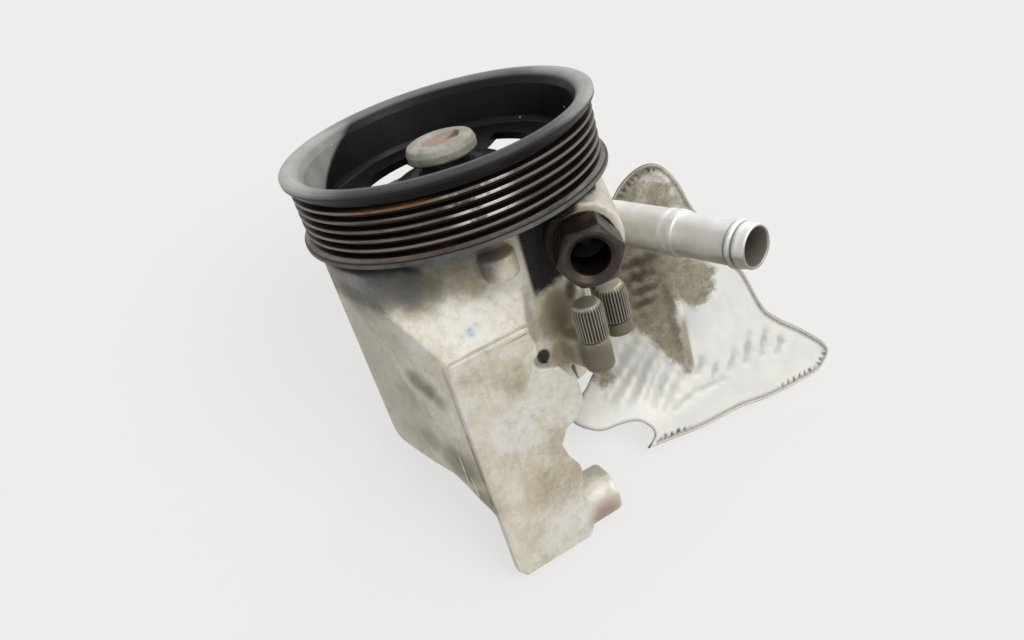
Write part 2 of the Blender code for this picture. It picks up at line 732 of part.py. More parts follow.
def make_cam_ring(finish):
    bm = bmesh.new()
    rings = []
    for radius_at, z in (
        (lambda a: CAVITY_RADIUS - GAP, CAM_Z),
        (lambda a: CAVITY_RADIUS - GAP, CAM_Z + CAM_WIDTH),
        (cam_radius, CAM_Z + CAM_WIDTH),
        (cam_radius, CAM_Z),
    ):
        steps = [360.0 * i / FINE for i in range(FINE)]
        rings.append([bm.verts.new(polar(radius_at(a), a, z)) for a in steps])
    for low, high in zip(rings, rings[1:] + rings[:1]):
        for i in range(FINE):
            j = (i + 1) % FINE
            bm.faces.new((low[i], low[j], high[j], high[i]))
    place("cam_ring", bm, finish)


def make_pressure_plates(finish):
    bore = SHAFT_RADIUS + GAP
    outer = CAVITY_RADIUS - GAP
    for name, z in (("rear_pressure_plate", REAR_PLATE_Z), ("front_pressure_plate", FRONT_PLATE_Z)):
        plate = place(name, tube(bore, outer, z, z + PLATE_THICKNESS, MEDIUM), finish)
        # two kidney-shaped inlet ports and two outlet ports
        ports = [
            (box(0.0150, 0.0205, -0.0035, 0.0035, z - 0.005, z + PLATE_THICKNESS + 0.005),
             Matrix.Rotation(math.radians(45 + 90 * i), 4, "Z"))
            for i in range(4)
        ]
        cut(plate, merge(ports))


def make_rotor(finish):
    low = CAM_Z + GAP
    high = CAM_Z + CAM_WIDTH - GAP
    rotor = place("rotor", tube(SHAFT_RADIUS + GAP, ROTOR_RADIUS, low, high, 40), finish)
    inner = ROTOR_RADIUS - VANE_DEPTH - SLOT_ROOM
    half = VANE_THICKNESS / 2 + VANE_GAP
    slots = [
        (box(inner, ROTOR_RADIUS + 0.003, -half, half, low - 0.003, high + 0.003),
         Matrix.Rotation(math.radians(vane_angle(i)), 4, "Z"))
        for i in range(VANE_COUNT)
    ]
    cut(rotor, merge(slots))


def vane_angle(i):
    return 360.0 * i / VANE_COUNT + 4.5


def make_vanes(finish):
    low = CAM_Z + 2 * GAP
    high = CAM_Z + CAM_WIDTH - 2 * GAP
    half = VANE_THICKNESS / 2
    outer = ROTOR_RADIUS - GAP
    inner = ROTOR_RADIUS - VANE_DEPTH
    crown = outer - half * 0.5
    outline = [(inner, -half), (crown, -half), (outer, 0), (crown, half), (inner, half)]
    for i in range(VANE_COUNT):
        place("vane_%02d" % (i + 1), prism(outline, low, high), finish,
              Matrix.Rotation(math.radians(vane_angle(i)), 4, "Z"))


def make_shaft(finish):
    groove_z = CAM_Z - GAP - CIRCLIP_THICKNESS
    place("drive_shaft", turned([
        (0, SHAFT_BOTTOM_Z),
        (SHAFT_RADIUS - 0.001, SHAFT_BOTTOM_Z),
        (SHAFT_RADIUS, SHAFT_BOTTOM_Z + 0.001),
        (SHAFT_RADIUS, groove_z - GAP),
        (SHAFT_RADIUS - CIRCLIP_REACH, groove_z - GAP),
        (SHAFT_RADIUS - CIRCLIP_REACH, CAM_Z),
        (SHAFT_RADIUS, CAM_Z),
        (SHAFT_RADIUS, SHAFT_TOP_Z),
        (PULLEY_BOLT_SHANK + GAP, SHAFT_TOP_Z),
        (PULLEY_BOLT_SHANK + GAP, SHAFT_TOP_Z - PULLEY_BOLT_DEPTH - 0.001),
        (0, SHAFT_TOP_Z - PULLEY_BOLT_DEPTH - 0.003),
    ], MEDIUM), finish)


def make_circlip(finish):
    # sits in the shaft's groove, in a recess of the rear plate's bore
    groove_z = CAM_Z - GAP - CIRCLIP_THICKNESS
    inner = SHAFT_RADIUS - CIRCLIP_REACH + GAP
    outer = SHAFT_RADIUS + 0.0010
    clip = place("rotor_circlip", tube(inner, outer, groove_z, groove_z + CIRCLIP_THICKNESS, MEDIUM), finish)
    cut(clip, box(0, 0.02, -0.0012, 0.0012, groove_z - 0.001, groove_z + CIRCLIP_THICKNESS + 0.001))
    plate = bpy.data.objects["rear_pressure_plate"]
    cut(plate, rod(outer + GAP, groove_z - GAP, CAM_Z + 0.001, MEDIUM))


def race_profile(inner, outer, groove_side):
    # a bearing ring with a ball groove in its outer (+1) or inner (-1) face
    low = BEARING_BOTTOM_Z
    high = low + BEARING_WIDTH
    depth = BALL_RADIUS + GAP - BEARING_GAP_HALF
    half = math.sqrt(max(1e-9, (BALL_RADIUS + GAP) ** 2 - BEARING_GAP_HALF ** 2))
    if groove_side > 0:
        face = outer
        groove = [(face, BEARING_MIDDLE_Z - half), (face - depth * 0.8, BEARING_MIDDLE_Z - half * 0.5),
                  (face - depth, BEARING_MIDDLE_Z), (face - depth * 0.8, BEARING_MIDDLE_Z + half * 0.5),
                  (face, BEARING_MIDDLE_Z + half)]
        return [(inner, low), (outer, low)] + groove + [(outer, high), (inner, high)]
    face = inner
    groove = [(face, BEARING_MIDDLE_Z + half), (face + depth * 0.8, BEARING_MIDDLE_Z + half * 0.5),
              (face + depth, BEARING_MIDDLE_Z), (face + depth * 0.8, BEARING_MIDDLE_Z - half * 0.5),
              (face, BEARING_MIDDLE_Z - half)]
    return [(inner, low), (outer, low), (outer, high), (inner, high)] + groove


def make_bearing(ring_finish, ball_finish, cage_finish):
    place("bearing_inner_ring", turned(race_profile(SHAFT_RADIUS + GAP, BEARING_INNER_FACE, 1), MEDIUM), ring_finish)
    place("bearing_outer_ring", turned(race_profile(BEARING_OUTER_FACE, BEARING_OUTER_RADIUS, -1), MEDIUM), ring_finish)
    for i in range(BALL_COUNT):
        ball = bmesh.new()
        bmesh.ops.create_uvsphere(ball, u_segments=8, v_segments=5, radius=BALL_RADIUS)
        centre = polar(BALL_CIRCLE, 360.0 * i / BALL_COUNT, BEARING_MIDDLE_Z)
        place("bearing_ball_%d" % (i + 1), ball, ball_finish, Matrix.Translation(centre))
    make_cage(cage_finish)


def make_cage(finish):
    # a crown cage: a ring below the balls with a finger between each pair
    low = BEARING_BOTTOM_Z + GAP
    top = BEARING_MIDDLE_Z - BALL_RADIUS - GAP
    inner = BALL_CIRCLE - CAGE_WALL / 2
    outer = BALL_CIRCLE + CAGE_WALL / 2
    cage = place("bearing_cage", tube(inner, outer, low, top, MEDIUM), finish)
    fingers = [
        (box(inner + 0.0004, outer - 0.0004, -0.0014, 0.0014, low + 0.0008, BEARING_MIDDLE_Z + 0.0015),
         Matrix.Rotation(math.radians(360.0 * (i + 0.5) / BALL_COUNT), 4, "Z"))
        for i in range(BALL_COUNT)
    ]
    join(cage, merge(fingers))


def make_seal_and_retainer(seal_finish, steel_finish):
    place("shaft_seal", tube(SHAFT_RADIUS + GAP, SEAL_OUTER_RADIUS, SEAL_Z, SEAL_Z + SEAL_WIDTH, MEDIUM), seal_finish)
    z = BEARING_BOTTOM_Z + BEARING_WIDTH + 2 * GAP
    outer = BEARING_OUTER_RADIUS + RETAINER_GROOVE_DEPTH
    ring = place("retaining_ring", tube(BEARING_OUTER_RADIUS - RETAINER_RING_DEPTH, outer, z, z + RETAINER_WIDTH, MEDIUM),
                 steel_finish)
    cut(ring, box(0, 0.04, -0.003, 0.003, z - 0.001, z + RETAINER_WIDTH + 0.001),
        Matrix.Rotation(math.radians(70), 4, "Z"))


def groove_profile():
    # the six V grooves from the top lip down, as (radius, height below the topmost crest)
    root = CREST_RADIUS - GROOVE_DEPTH
    points = []
    for i in range(GROOVE_COUNT):
        middle = CREST_Z + GROOVE_PITCH / 2 - i * GROOVE_PITCH
        half_mouth = (GROOVE_PITCH - CREST_WIDTH) / 2
        points.append((CREST_RADIUS, middle + half_mouth))
        points.append((root, middle + GROOVE_ROOT_WIDTH / 2))
        points.append((root, middle - GROOVE_ROOT_WIDTH / 2))
        points.append((CREST_RADIUS, middle - half_mouth))
    return points


def make_pulley(finish):
    lip = CREST_Z + LIP_RISE
    floor = PULLEY_FLOOR_Z
    under = floor - WEB_THICKNESS
    skirt = CREST_Z - SKIRT_DROP
    inner = CREST_RADIUS - GROOVE_DEPTH - RIM_WALL
    profile = [
        (LIP_RADIUS - LIP_WIDTH * 0.45, lip),
        (LIP_RADIUS, lip - 0.0009),
        (LIP_RADIUS, lip - 0.0032),
        (CREST_RADIUS + 0.0004, CREST_Z + GROOVE_PITCH + 0.0006),
    ]
    profile += groove_profile()
    profile += [
        (CREST_RADIUS, skirt + 0.0024),
        (SKIRT_RADIUS, skirt + 0.0014),
        (SKIRT_RADIUS, skirt),
        (inner + 0.0010, skirt),
        (inner, under),
        (HUB_SLEEVE_RADIUS + 0.004, under),
        (HUB_SLEEVE_RADIUS, under - 0.003),
        (HUB_SLEEVE_RADIUS - 0.001, HUB_TOP_Z - 0.0105),
        (SHAFT_RADIUS + GAP, HUB_TOP_Z - 0.0105),
        (SHAFT_RADIUS + GAP, HUB_TOP_Z),
        (HUB_BOSS_RADIUS - 0.005, HUB_TOP_Z),
        (HUB_BOSS_RADIUS, floor),
        (inner - 0.0035, floor),
        (inner - 0.0010, floor + 0.0030),
        (CUP_RADIUS - 0.0012, CREST_Z + LIP_RISE - 0.0045),
        (CUP_RADIUS, CREST_Z + LIP_RISE - 0.0024),
        (LIP_RADIUS - LIP_WIDTH, lip - 0.0008),
    ]
    pulley = place("pulley", turned(list(reversed(profile)), FINE), finish)
    cut(pulley, merge([window_cutter(i) for i in range(WINDOW_COUNT)]))


def window_cutter(i):
    # a rounded sector through the web
    z0 = PULLEY_FLOOR_Z - WEB_THICKNESS - 0.004
    z1 = PULLEY_FLOOR_Z + 0.004
    half = WINDOW_SPAN / 2
    outline = []
    for k in range(9):
        outline.append(tuple(polar(WINDOW_OUTER_RADIUS, -half + WINDOW_SPAN * k / 8)[:2]))
    for k in range(5):
        outline.append(tuple(polar(WINDOW_INNER_RADIUS, half * 0.84 - WINDOW_SPAN * 0.84 * k / 4)[:2]))
    turn = math.radians(WINDOW_FIRST_ANGLE + 360.0 * i / WINDOW_COUNT)
    return prism(outline, z0, z1), Matrix.Rotation(turn, 4, "Z")


def make_pulley_fixings(collar_finish, bolt_finish):
    place("hub_collar", turned([
        (PULLEY_BOLT_SHANK + GAP, COLLAR_Z),
        (COLLAR_RADIUS + 0.0005, COLLAR_Z),
        (COLLAR_RADIUS, COLLAR_Z + 0.001),
        (COLLAR_RADIUS, COLLAR_Z + COLLAR_HEIGHT),
        (PULLEY_BOLT_SHANK + GAP, COLLAR_Z + COLLAR_HEIGHT),
    ], MEDIUM), collar_finish)
    head = PULLEY_BOLT_HEAD
    place("pulley_bolt", turned([
        (0, SHAFT_TOP_Z - PULLEY_BOLT_DEPTH),
        (PULLEY_BOLT_SHANK, SHAFT_TOP_Z - PULLEY_BOLT_DEPTH),
        (PULLEY_BOLT_SHANK, BOLT_HEAD_Z),
        (PULLEY_BOLT_RADIUS - 0.0012, BOLT_HEAD_Z),
        (PULLEY_BOLT_RADIUS - 0.0002, BOLT_HEAD_Z + 0.0012),
        (PULLEY_BOLT_RADIUS, BOLT_HEAD_Z + head * 0.55),
        (PULLEY_BOLT_RADIUS - 0.0010, BOLT_HEAD_Z + head * 0.88),
        (PULLEY_BOLT_RADIUS - 0.0030, BOLT_HEAD_Z + head),
        (PULLEY_BOLT_RADIUS - 0.0055, BOLT_HEAD_Z + head),
        (PULLEY_BOLT_RADIUS - 0.0065, BOLT_HEAD_Z + head - PULLEY_BOLT_DISH),
        (0, BOLT_HEAD_Z + head - PULLEY_BOLT_DISH),
    ], MEDIUM), bolt_finish)


def make_union(finish, washer_finish):
    base = valve_frame()
    face = VALVE_FRONT + WASHER_THICKNESS + 2 * GAP
    tip = face + UNION_HEX_LENGTH
    spun = base @ Matrix.Rotation(math.radians(UNION_TURN), 4, "Z")
    body = place("outlet_union", prism(hexagon(UNION_ACROSS_FLATS), face, tip), finish, spun)
    # the front edge is turned off to a cone, as on any hexagon union
    round_edge = turned([
        (0, face - 0.002),
        (UNION_ACROSS_FLATS, face - 0.002),
        (UNION_ACROSS_FLATS, tip - UNION_CHAMFER * 1.6 + UNION_ACROSS_FLATS * -0.30),
        (UNION_ACROSS_FLATS / 2 - UNION_CHAMFER * 0.4, tip),
        (0, tip),
    ], MEDIUM)
    boolean(body, "INTERSECT", round_edge, base)
    join(body, rod(UNION_SPIGOT_RADIUS, VALVE_FRONT - UNION_SPIGOT_LENGTH, face + 0.001, MEDIUM), base)
    bore = turned([
        (0, VALVE_FRONT - UNION_SPIGOT_LENGTH - 0.004),
        (UNION_SEAT_BORE_RADIUS, VALVE_FRONT - UNION_SPIGOT_LENGTH - 0.004),
        (UNION_SEAT_BORE_RADIUS, tip - UNION_BORE_DEPTH - 0.002),
        (UNION_BORE_RADIUS, tip - UNION_BORE_DEPTH),
        (UNION_BORE_RADIUS, tip - 0.0014),
        (UNION_BORE_RADIUS + 0.0024, tip + 0.001),
        (0, tip + 0.001),
    ], MEDIUM)
    cut(body, bore, base)
    washer_z = VALVE_FRONT + GAP
    place("union_washer", tube(UNION_SPIGOT_RADIUS + GAP, UNION_ACROSS_FLATS / 2 + 0.0006, washer_z,
                               washer_z + WASHER_THICKNESS, MEDIUM), washer_finish, base)


def make_valve(spool_finish, spring_finish):
    base = valve_frame()
    front = VALVE_FRONT - UNION_SPIGOT_LENGTH - 2 * GAP
    back = front - SPOOL_LENGTH
    land = VALVE_BORE_RADIUS - GAP
    waist = land * 0.72
    place("valve_spool", turned([
        (0, back),
        (land, back),
        (land, back + SPOOL_LENGTH * 0.30),
        (waist, back + SPOOL_LENGTH * 0.34),
        (waist, back + SPOOL_LENGTH * 0.58),
        (land, back + SPOOL_LENGTH * 0.62),
        (land, front - 0.001),
        (land - 0.001, front),
        (0, front),
    ], 24), spool_finish, base)
    place("valve_spring", spring_mesh(-VALVE_BORE_BACK + GAP + SPRING_WIRE_RADIUS, back - GAP - SPRING_WIRE_RADIUS,
                                      VALVE_BORE_RADIUS - 3 * GAP - SPRING_WIRE_RADIUS), spring_finish, base)


def spring_mesh(z0, z1, radius):
    # wire swept along a helix, six-sided
    bm = bmesh.new()
    per_turn = 12
    count = SPRING_TURNS * per_turn
    rings = []
    for i in range(count + 1):
        angle = 2 * math.pi * i / per_turn
        centre = Vector((radius * math.cos(angle), radius * math.sin(angle), z0 + (z1 - z0) * i / count))
        out = Vector((math.cos(angle), math.sin(angle), 0))
        ring = []
        for k in range(6):
            turn = 2 * math.pi * k / 6
            ring.append(bm.verts.new(centre + (out * math.cos(turn) + Vector((0, 0, math.sin(turn)))) * SPRING_WIRE_RADIUS))
        rings.append(ring)
    for low, high in zip(rings, rings[1:]):
        for k in range(6):
            j = (k + 1) % 6
            bm.faces.new((low[k], low[j], high[j], high[k]))
    bm.faces.new(list(reversed(rings[0])))
    bm.faces.new(rings[-1])
    return bm


def pipe_path():
    # points and directions along the pipe: spigot in the port, bend, straight run
    start = Vector((PORT_END_X - PIPE_SPIGOT, PORT_Y, PIPE_Z))
    bend_at = Vector((PORT_END_X + 0.0014, PORT_Y, PIPE_Z))
    centre = bend_at + Vector((0, -PIPE_BEND_RADIUS, 0))
    stations = [(start, Vector((1, 0, 0)))]
    steps = 7
    for i in range(steps + 1):
        turn = PIPE_ANGLE * i / steps
        point = centre + polar(PIPE_BEND_RADIUS, 90 + turn)
        stations.append((point, polar(1.0, turn)))
    end_direction = polar(1.0, PIPE_ANGLE)
    bend_end = stations[-1][0]
    return stations, bend_end, end_direction


def make_pipe(finish, ring_finish):
    stations, bend_end, direction = pipe_path()
    rings = []
    for point, along in stations[:-1]:
        rings.append((point, along, PIPE_SPIGOT_RADIUS))
    collar = PIPE_COLLAR_AT
    bead = PIPE_STRAIGHT - PIPE_BEAD_FROM_END
    half = PIPE_BEAD_WIDTH / 2
    run = [
        (0.0, PIPE_SPIGOT_RADIUS),
        (collar - 0.0030, PIPE_SPIGOT_RADIUS),
        (collar - 0.0014, PIPE_RADIUS + PIPE_COLLAR_HEIGHT),
        (collar + 0.0006, PIPE_RADIUS + PIPE_COLLAR_HEIGHT),
        (collar + 0.0016, PIPE_RADIUS),
        (bead - half, PIPE_RADIUS),
        (bead - half * 0.4, PIPE_RADIUS + PIPE_BEAD_HEIGHT),
        (bead + half * 0.4, PIPE_RADIUS + PIPE_BEAD_HEIGHT),
        (bead + half, PIPE_RADIUS),
        (PIPE_STRAIGHT - 0.0008, PIPE_RADIUS),
        (PIPE_STRAIGHT, PIPE_RADIUS - 0.0006),
    ]
    rings += [(bend_end + direction * at, direction, radius) for at, radius in run]
    bore = [(point, along, PIPE_RADIUS - PIPE_WALL) for point, along in stations]
    bore.append((bend_end + direction * PIPE_STRAIGHT, direction, PIPE_RADIUS - PIPE_WALL))
    place("suction_pipe", swept_tube(rings, list(reversed(bore)), 20), finish)
    ring = bmesh.new()
    add_torus(ring, O_RING_CIRCLE, O_RING_RADIUS)
    seat = Matrix.Translation((PORT_END_X - 0.0035, PORT_Y, PIPE_Z)) @ Matrix.Rotation(math.radians(90), 4, "Y")
    place("pipe_o_ring", ring, ring_finish, seat)


def swept_tube(outer, bore, segments):
    # outer rings one way, bore rings back the other way, closed into a wall
    bm = bmesh.new()
    loops = []
    for point, along, radius in outer + bore:
        side = Vector((along.y, -along.x, 0)).normalized()
        up = Vector((0, 0, 1))
        loop = []
        for k in range(segments):
            turn = 2 * math.pi * k / segments
            loop.append(bm.verts.new(point + (side * math.cos(turn) + up * math.sin(turn)) * radius))
        loops.append(loop)
    for low, high in zip(loops, loops[1:] + loops[:1]):
        for k in range(segments):
            j = (k + 1) % segments
            bm.faces.new((low[k], low[j], high[j], high[k]))
    return bm


def add_torus(bm, radius, wire):
    rings = []
    for i in range(24):
        angle = 2 * math.pi * i / 24
        out = Vector((math.cos(angle), math.sin(angle), 0))
        ring = []
        for k in range(6):
            turn = 2 * math.pi * k / 6
            ring.append(bm.verts.new(out * (radius + wire * math.cos(turn)) + Vector((0, 0, wire * math.sin(turn)))))
        rings.append(ring)
    for low, high in zip(rings, rings[1:] + rings[:1]):
        for k in range(6):
            j = (k + 1) % 6
            bm.faces.new((low[k], low[j], high[j], high[k]))


def knurled_screw():
    # head above z = 0, shank below it
    bm = bmesh.new()
    count = KNURL_TEETH * 2
    heights = (0.0, 0.0004, SCREW_HEAD_HEIGHT - 0.0022, SCREW_HEAD_HEIGHT - 0.0014, SCREW_HEAD_HEIGHT)
    rings = []
    bottom = [(SCREW_SHANK_RADIUS, -SCREW_SHANK_LENGTH), (SCREW_SHANK_RADIUS, 0.0)]
    for radius, z in bottom:
        rings.append([bm.verts.new(polar(radius, 360.0 * i / count, z)) for i in range(count)])
    for level, z in enumerate(heights):
        ring = []
        for i in range(count):
            toothed = level in (1, 2)
            radius = SCREW_HEAD_RADIUS - (KNURL_DEPTH if toothed and i % 2 else 0.0)
            if level == 0:
                radius = SCREW_HEAD_RADIUS - KNURL_DEPTH * 1.2
            if level == 3:
                radius = SCREW_HEAD_RADIUS - KNURL_DEPTH * 1.1
            if level == 4:
                radius = SCREW_HEAD_RADIUS - 0.0018
            ring.append(bm.verts.new(polar(radius, 360.0 * i / count, z)))
        rings.append(ring)
    for low, high in zip(rings, rings[1:]):
        for i in range(count):
            j = (i + 1) % count
            bm.faces.new((low[i], low[j], high[j], high[i]))
    bm.faces.new(list(reversed(rings[0])))
    bm.faces.new(rings[-1])
    return bm


def make_knurled_screws(finish):
    for i in range(len(SCREW_ANGLES)):
        seat = Matrix.Translation(screw_place(i) + Vector((0, 0, GAP)))
        place("knurled_screw_%d" % (i + 1), knurled_screw(), finish, seat)


def make_bushes(finish):
    bosses = (
        ("upper", UPPER_BOSS_RADIUS, UPPER_BOSS_Z, UPPER_BOSS_END),
        ("lower", LOWER_BOSS_RADIUS, LOWER_BOSS_Z, LOWER_BOSS_END),
    )
    outer = BOSS_BORE_RADIUS - GAP
    for name, radius, z, end in bosses:
        sleeve = tube(outer - BUSH_WALL, outer, -BUSH_LENGTH, -GAP, COARSE)
        place("bracket_bush_" + name, sleeve, finish, front_frame(end, z, radius - BOSS_PROUD))


def shield_outline():
    # the sheet's edge as (x, z), from the cut-out beside the arm round by the foot, the tip and the upper lobe
    return [
        (0.0190, -0.0325), (0.0265, -0.0370), (0.0320, -0.0385), (0.0385, -0.0388), (0.0462, -0.0402),
        (0.0510, -0.0440), (0.0525, -0.0490), (0.0475, -0.0530), (0.0610, -0.0545), (0.0760, -0.0560),
        (0.0950, -0.0560), (0.1120, -0.0580), (0.1360, -0.0578), (0.1425, -0.0550), (0.1460, -0.0508),
        (0.1440, -0.0455), (0.1345, -0.0350), (0.1250, -0.0262), (0.1185, -0.0175), (0.1135, -0.0005),
        (0.1085, 0.0105), (0.1025, 0.0250), (0.0967, 0.0365), (0.0938, 0.0470), (0.0900, 0.0545),
        (0.0855, 0.0585), (0.0805, 0.0590), (0.0750, 0.0570), (0.0690, 0.0525), (0.0640, 0.0465),
        (0.0590, 0.0400), (0.0510, 0.0345), (0.0430, 0.0260), (0.0415, 0.0120), (0.0425, -0.0010),
        (0.0400, -0.0160), (0.0310, -0.0240), (0.0225, -0.0285),
    ]


def corrugation(x, z, from_edge):
    # embossed waves that die out towards the hem
    angle = math.radians(CORRUGATION_ANGLE)
    across = x * math.sin(angle) - z * math.cos(angle)
    phase = across / CORRUGATION_PITCH
    wave = 1 - 4 * abs(phase - math.floor(phase + 0.5))
    fade = min(1.0, max(0.0, (from_edge - 0.005) / 0.007))
    return CORRUGATION_HEIGHT / 2 * wave * fade


def distance_to_outline(x, z, outline):
    best = 1.0
    for (ax, az), (bx, bz) in zip(outline, outline[1:] + outline[:1]):
        dx = bx - ax
        dz = bz - az
        t = ((x - ax) * dx + (z - az) * dz) / (dx * dx + dz * dz)
        t = min(1.0, max(0.0, t))
        best = min(best, math.hypot(x - ax - t * dx, z - az - t * dz))
    return best


def shield_sheet():
    # the flat outline, inset for the hem and cut along the corrugation's ridges and across them
    outline = shield_outline()
    bm = bmesh.new()
    face = bm.faces.new([bm.verts.new((x, 0, z)) for x, z in outline])
    bmesh.ops.inset_region(bm, faces=[face], thickness=SHIELD_HEM_WIDTH, use_even_offset=True)
    angle = math.radians(CORRUGATION_ANGLE)
    across = Vector((math.sin(angle), 0, -math.cos(angle)))
    along = Vector((math.cos(angle), 0, math.sin(angle)))
    for direction, step in ((across, CORRUGATION_PITCH / 2), (along, 0.020)):
        reach = [v.co.dot(direction) for v in bm.verts]
        for k in range(math.floor(min(reach) / step) + 1, math.ceil(max(reach) / step)):
            geom = list(bm.faces) + list(bm.edges) + list(bm.verts)
            bmesh.ops.bisect_plane(bm, geom=geom, dist=0.00001, plane_co=direction * step * k, plane_no=direction)
    bmesh.ops.triangulate(bm, faces=bm.faces)
    return bm, outline


def make_shield(finish):
    flat, outline = shield_sheet()
    bm = bmesh.new()
    front = {}
    back = {}
    for v in flat.verts:
        x = v.co.x
        z = v.co.z
        away = distance_to_outline(x, z, outline)
        hemmed = away < SHIELD_HEM_WIDTH * 0.8
        half = (SHIELD_HEM_THICKNESS if hemmed else SHIELD_THICKNESS) / 2
        normal = shield_normal(x, z)
        middle = shield_point(x, z) + normal * corrugation(x, z, away)
        front[v] = bm.verts.new(middle + normal * half)
        back[v] = bm.verts.new(middle - normal * half)
    for face in flat.faces:
        bm.faces.new([front[v] for v in face.verts])
        bm.faces.new([back[v] for v in reversed(face.verts)])
    for edge in flat.edges:
        if len(edge.link_faces) == 1:
            a, b = edge.verts
            bm.faces.new((front[a], front[b], back[b], back[a]))
    flat.free()
    shield = place("heat_shield", bm, finish)
    for frame in shield_bolt_frames():
        cut(shield, rod(SHIELD_BOLT_RADIUS + 2 * GAP, -0.006, 0.006, 16), frame)


def make_shield_fixings(bolt_finish, washer_finish):
    rise = SHIELD_THICKNESS / 2 + CORRUGATION_HEIGHT + GAP
    seat = rise + SHIELD_WASHER_THICKNESS + GAP
    flip = Matrix.Translation((0, 0, seat)) @ Matrix.Rotation(math.pi, 4, "X")
    for i, frame in enumerate(shield_bolt_frames()):
        washer = tube(SHIELD_BOLT_RADIUS + GAP, SHIELD_WASHER_RADIUS, rise, rise + SHIELD_WASHER_THICKNESS, 20)
        place("shield_washer_%d" % (i + 1), washer, washer_finish, frame)
        hex_bolt("shield_bolt_%d" % (i + 1), SHIELD_BOLT_HEAD_RADIUS, SHIELD_BOLT_HEAD_HEIGHT, SHIELD_BOLT_RADIUS,
                 SHIELD_BOLT_LENGTH, bolt_finish, frame @ flip)


def main():
    for old in list(bpy.data.objects):
        bpy.data.objects.remove(old, do_unlink=True)
    cast = material("cast_aluminium", (0.62, 0.60, 0.55), 0.55, 0.8)
    cover_cast = material("cover_aluminium", (0.60, 0.59, 0.56), 0.5, 0.8)
    black = material("black_painted_steel", (0.03, 0.03, 0.035), 0.35, 0.2)
    rusty = material("rusty_steel", (0.45, 0.36, 0.30), 0.6, 0.7)
    dark = material("oxidised_steel", (0.16, 0.12, 0.11), 0.45, 0.8)
    steel = material("ground_steel", (0.60, 0.60, 0.62), 0.3, 1.0)
    hardened = material("hardened_steel", (0.50, 0.50, 0.53), 0.25, 1.0)
    plated = material("plated_steel", (0.42, 0.40, 0.35), 0.45, 0.9)
    bright = material("bright_aluminium", (0.75, 0.75, 0.76), 0.35, 0.9)
    sheet = material("sheet_aluminium", (0.80, 0.79, 0.75), 0.5, 0.7)
    copper = material("copper", (0.60, 0.35, 0.22), 0.4, 1.0)
    rubber = material("nitrile_rubber", (0.03, 0.03, 0.03), 0.7, 0.0)
    brass = material("pressed_brass", (0.60, 0.50, 0.28), 0.4, 1.0)
    make_housing(cast)
    make_cover(cover_cast, plated, rubber)
    make_cam_ring(hardened)
    make_pressure_plates(steel)
    make_rotor(hardened)
    make_vanes(steel)
    make_shaft(steel)
    make_circlip(plated)
    make_bearing(hardened, steel, brass)
    make_seal_and_retainer(rubber, plated)
    make_pulley(black)
    make_pulley_fixings(dark, rusty)
    make_union(dark, copper)
    make_valve(hardened, steel)
    make_pipe(bright, rubber)
    make_knurled_screws(plated)
    make_bushes(steel)
    make_shield(sheet)
    make_shield_fixings(plated, plated)


main()
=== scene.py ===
import math

import bmesh
import bpy
import numpy as np
from mathutils import Matrix, Vector
from mathutils.geometry import delaunay_2d_cdt
from mathutils.kdtree import KDTree


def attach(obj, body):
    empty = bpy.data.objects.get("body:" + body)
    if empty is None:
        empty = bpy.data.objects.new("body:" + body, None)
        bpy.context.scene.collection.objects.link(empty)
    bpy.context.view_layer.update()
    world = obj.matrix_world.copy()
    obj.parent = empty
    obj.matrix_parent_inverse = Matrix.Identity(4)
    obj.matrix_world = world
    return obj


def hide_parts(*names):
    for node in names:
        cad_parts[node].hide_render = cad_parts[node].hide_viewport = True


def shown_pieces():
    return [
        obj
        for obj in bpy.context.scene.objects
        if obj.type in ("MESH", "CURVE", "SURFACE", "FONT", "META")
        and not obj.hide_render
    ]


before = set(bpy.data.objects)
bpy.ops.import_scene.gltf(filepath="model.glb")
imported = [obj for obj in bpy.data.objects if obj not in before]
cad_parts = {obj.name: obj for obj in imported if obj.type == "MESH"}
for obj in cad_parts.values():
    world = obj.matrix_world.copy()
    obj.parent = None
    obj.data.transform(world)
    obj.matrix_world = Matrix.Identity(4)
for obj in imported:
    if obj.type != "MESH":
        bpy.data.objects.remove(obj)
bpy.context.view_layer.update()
print("pump frame loaded:", len(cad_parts), "nodes")

mm = 0.001


# small helpers for meshes: every length below is in millimetres

def polar(radius, degrees, height=0.0):
    turn = math.radians(degrees)
    return Vector((radius * math.cos(turn), radius * math.sin(turn), height))


def frameAt(point, axis):
    # local Z runs along the axis
    turn = Vector(axis).normalized().to_track_quat("Z", "Y")
    return Matrix.Translation(Vector(point)) @ turn.to_matrix().to_4x4()


def roundedPath(corners, steps=5, closed=True):
    # each corner is (radius, height, fillet); the fillet is cut down where the sides are short
    path = []
    count = len(corners)
    for i, (radius, height, fillet) in enumerate(corners):
        here = Vector((radius, height))
        if fillet <= 0 or (not closed and i in (0, count - 1)):
            path.append(here)
            continue
        toBefore = Vector(corners[i - 1][:2]) - here
        toAfter = Vector(corners[(i + 1) % count][:2]) - here
        half = max(0.05, toBefore.angle(toAfter) / 2)
        reach = min(fillet / math.tan(half), toBefore.length * 0.48, toAfter.length * 0.48)
        near = here + toBefore.normalized() * reach
        far = here + toAfter.normalized() * reach
        for k in range(steps + 1):
            t = k / steps
            path.append(near * (1 - t) ** 2 + here * (2 * t * (1 - t)) + far * t ** 2)
    return path


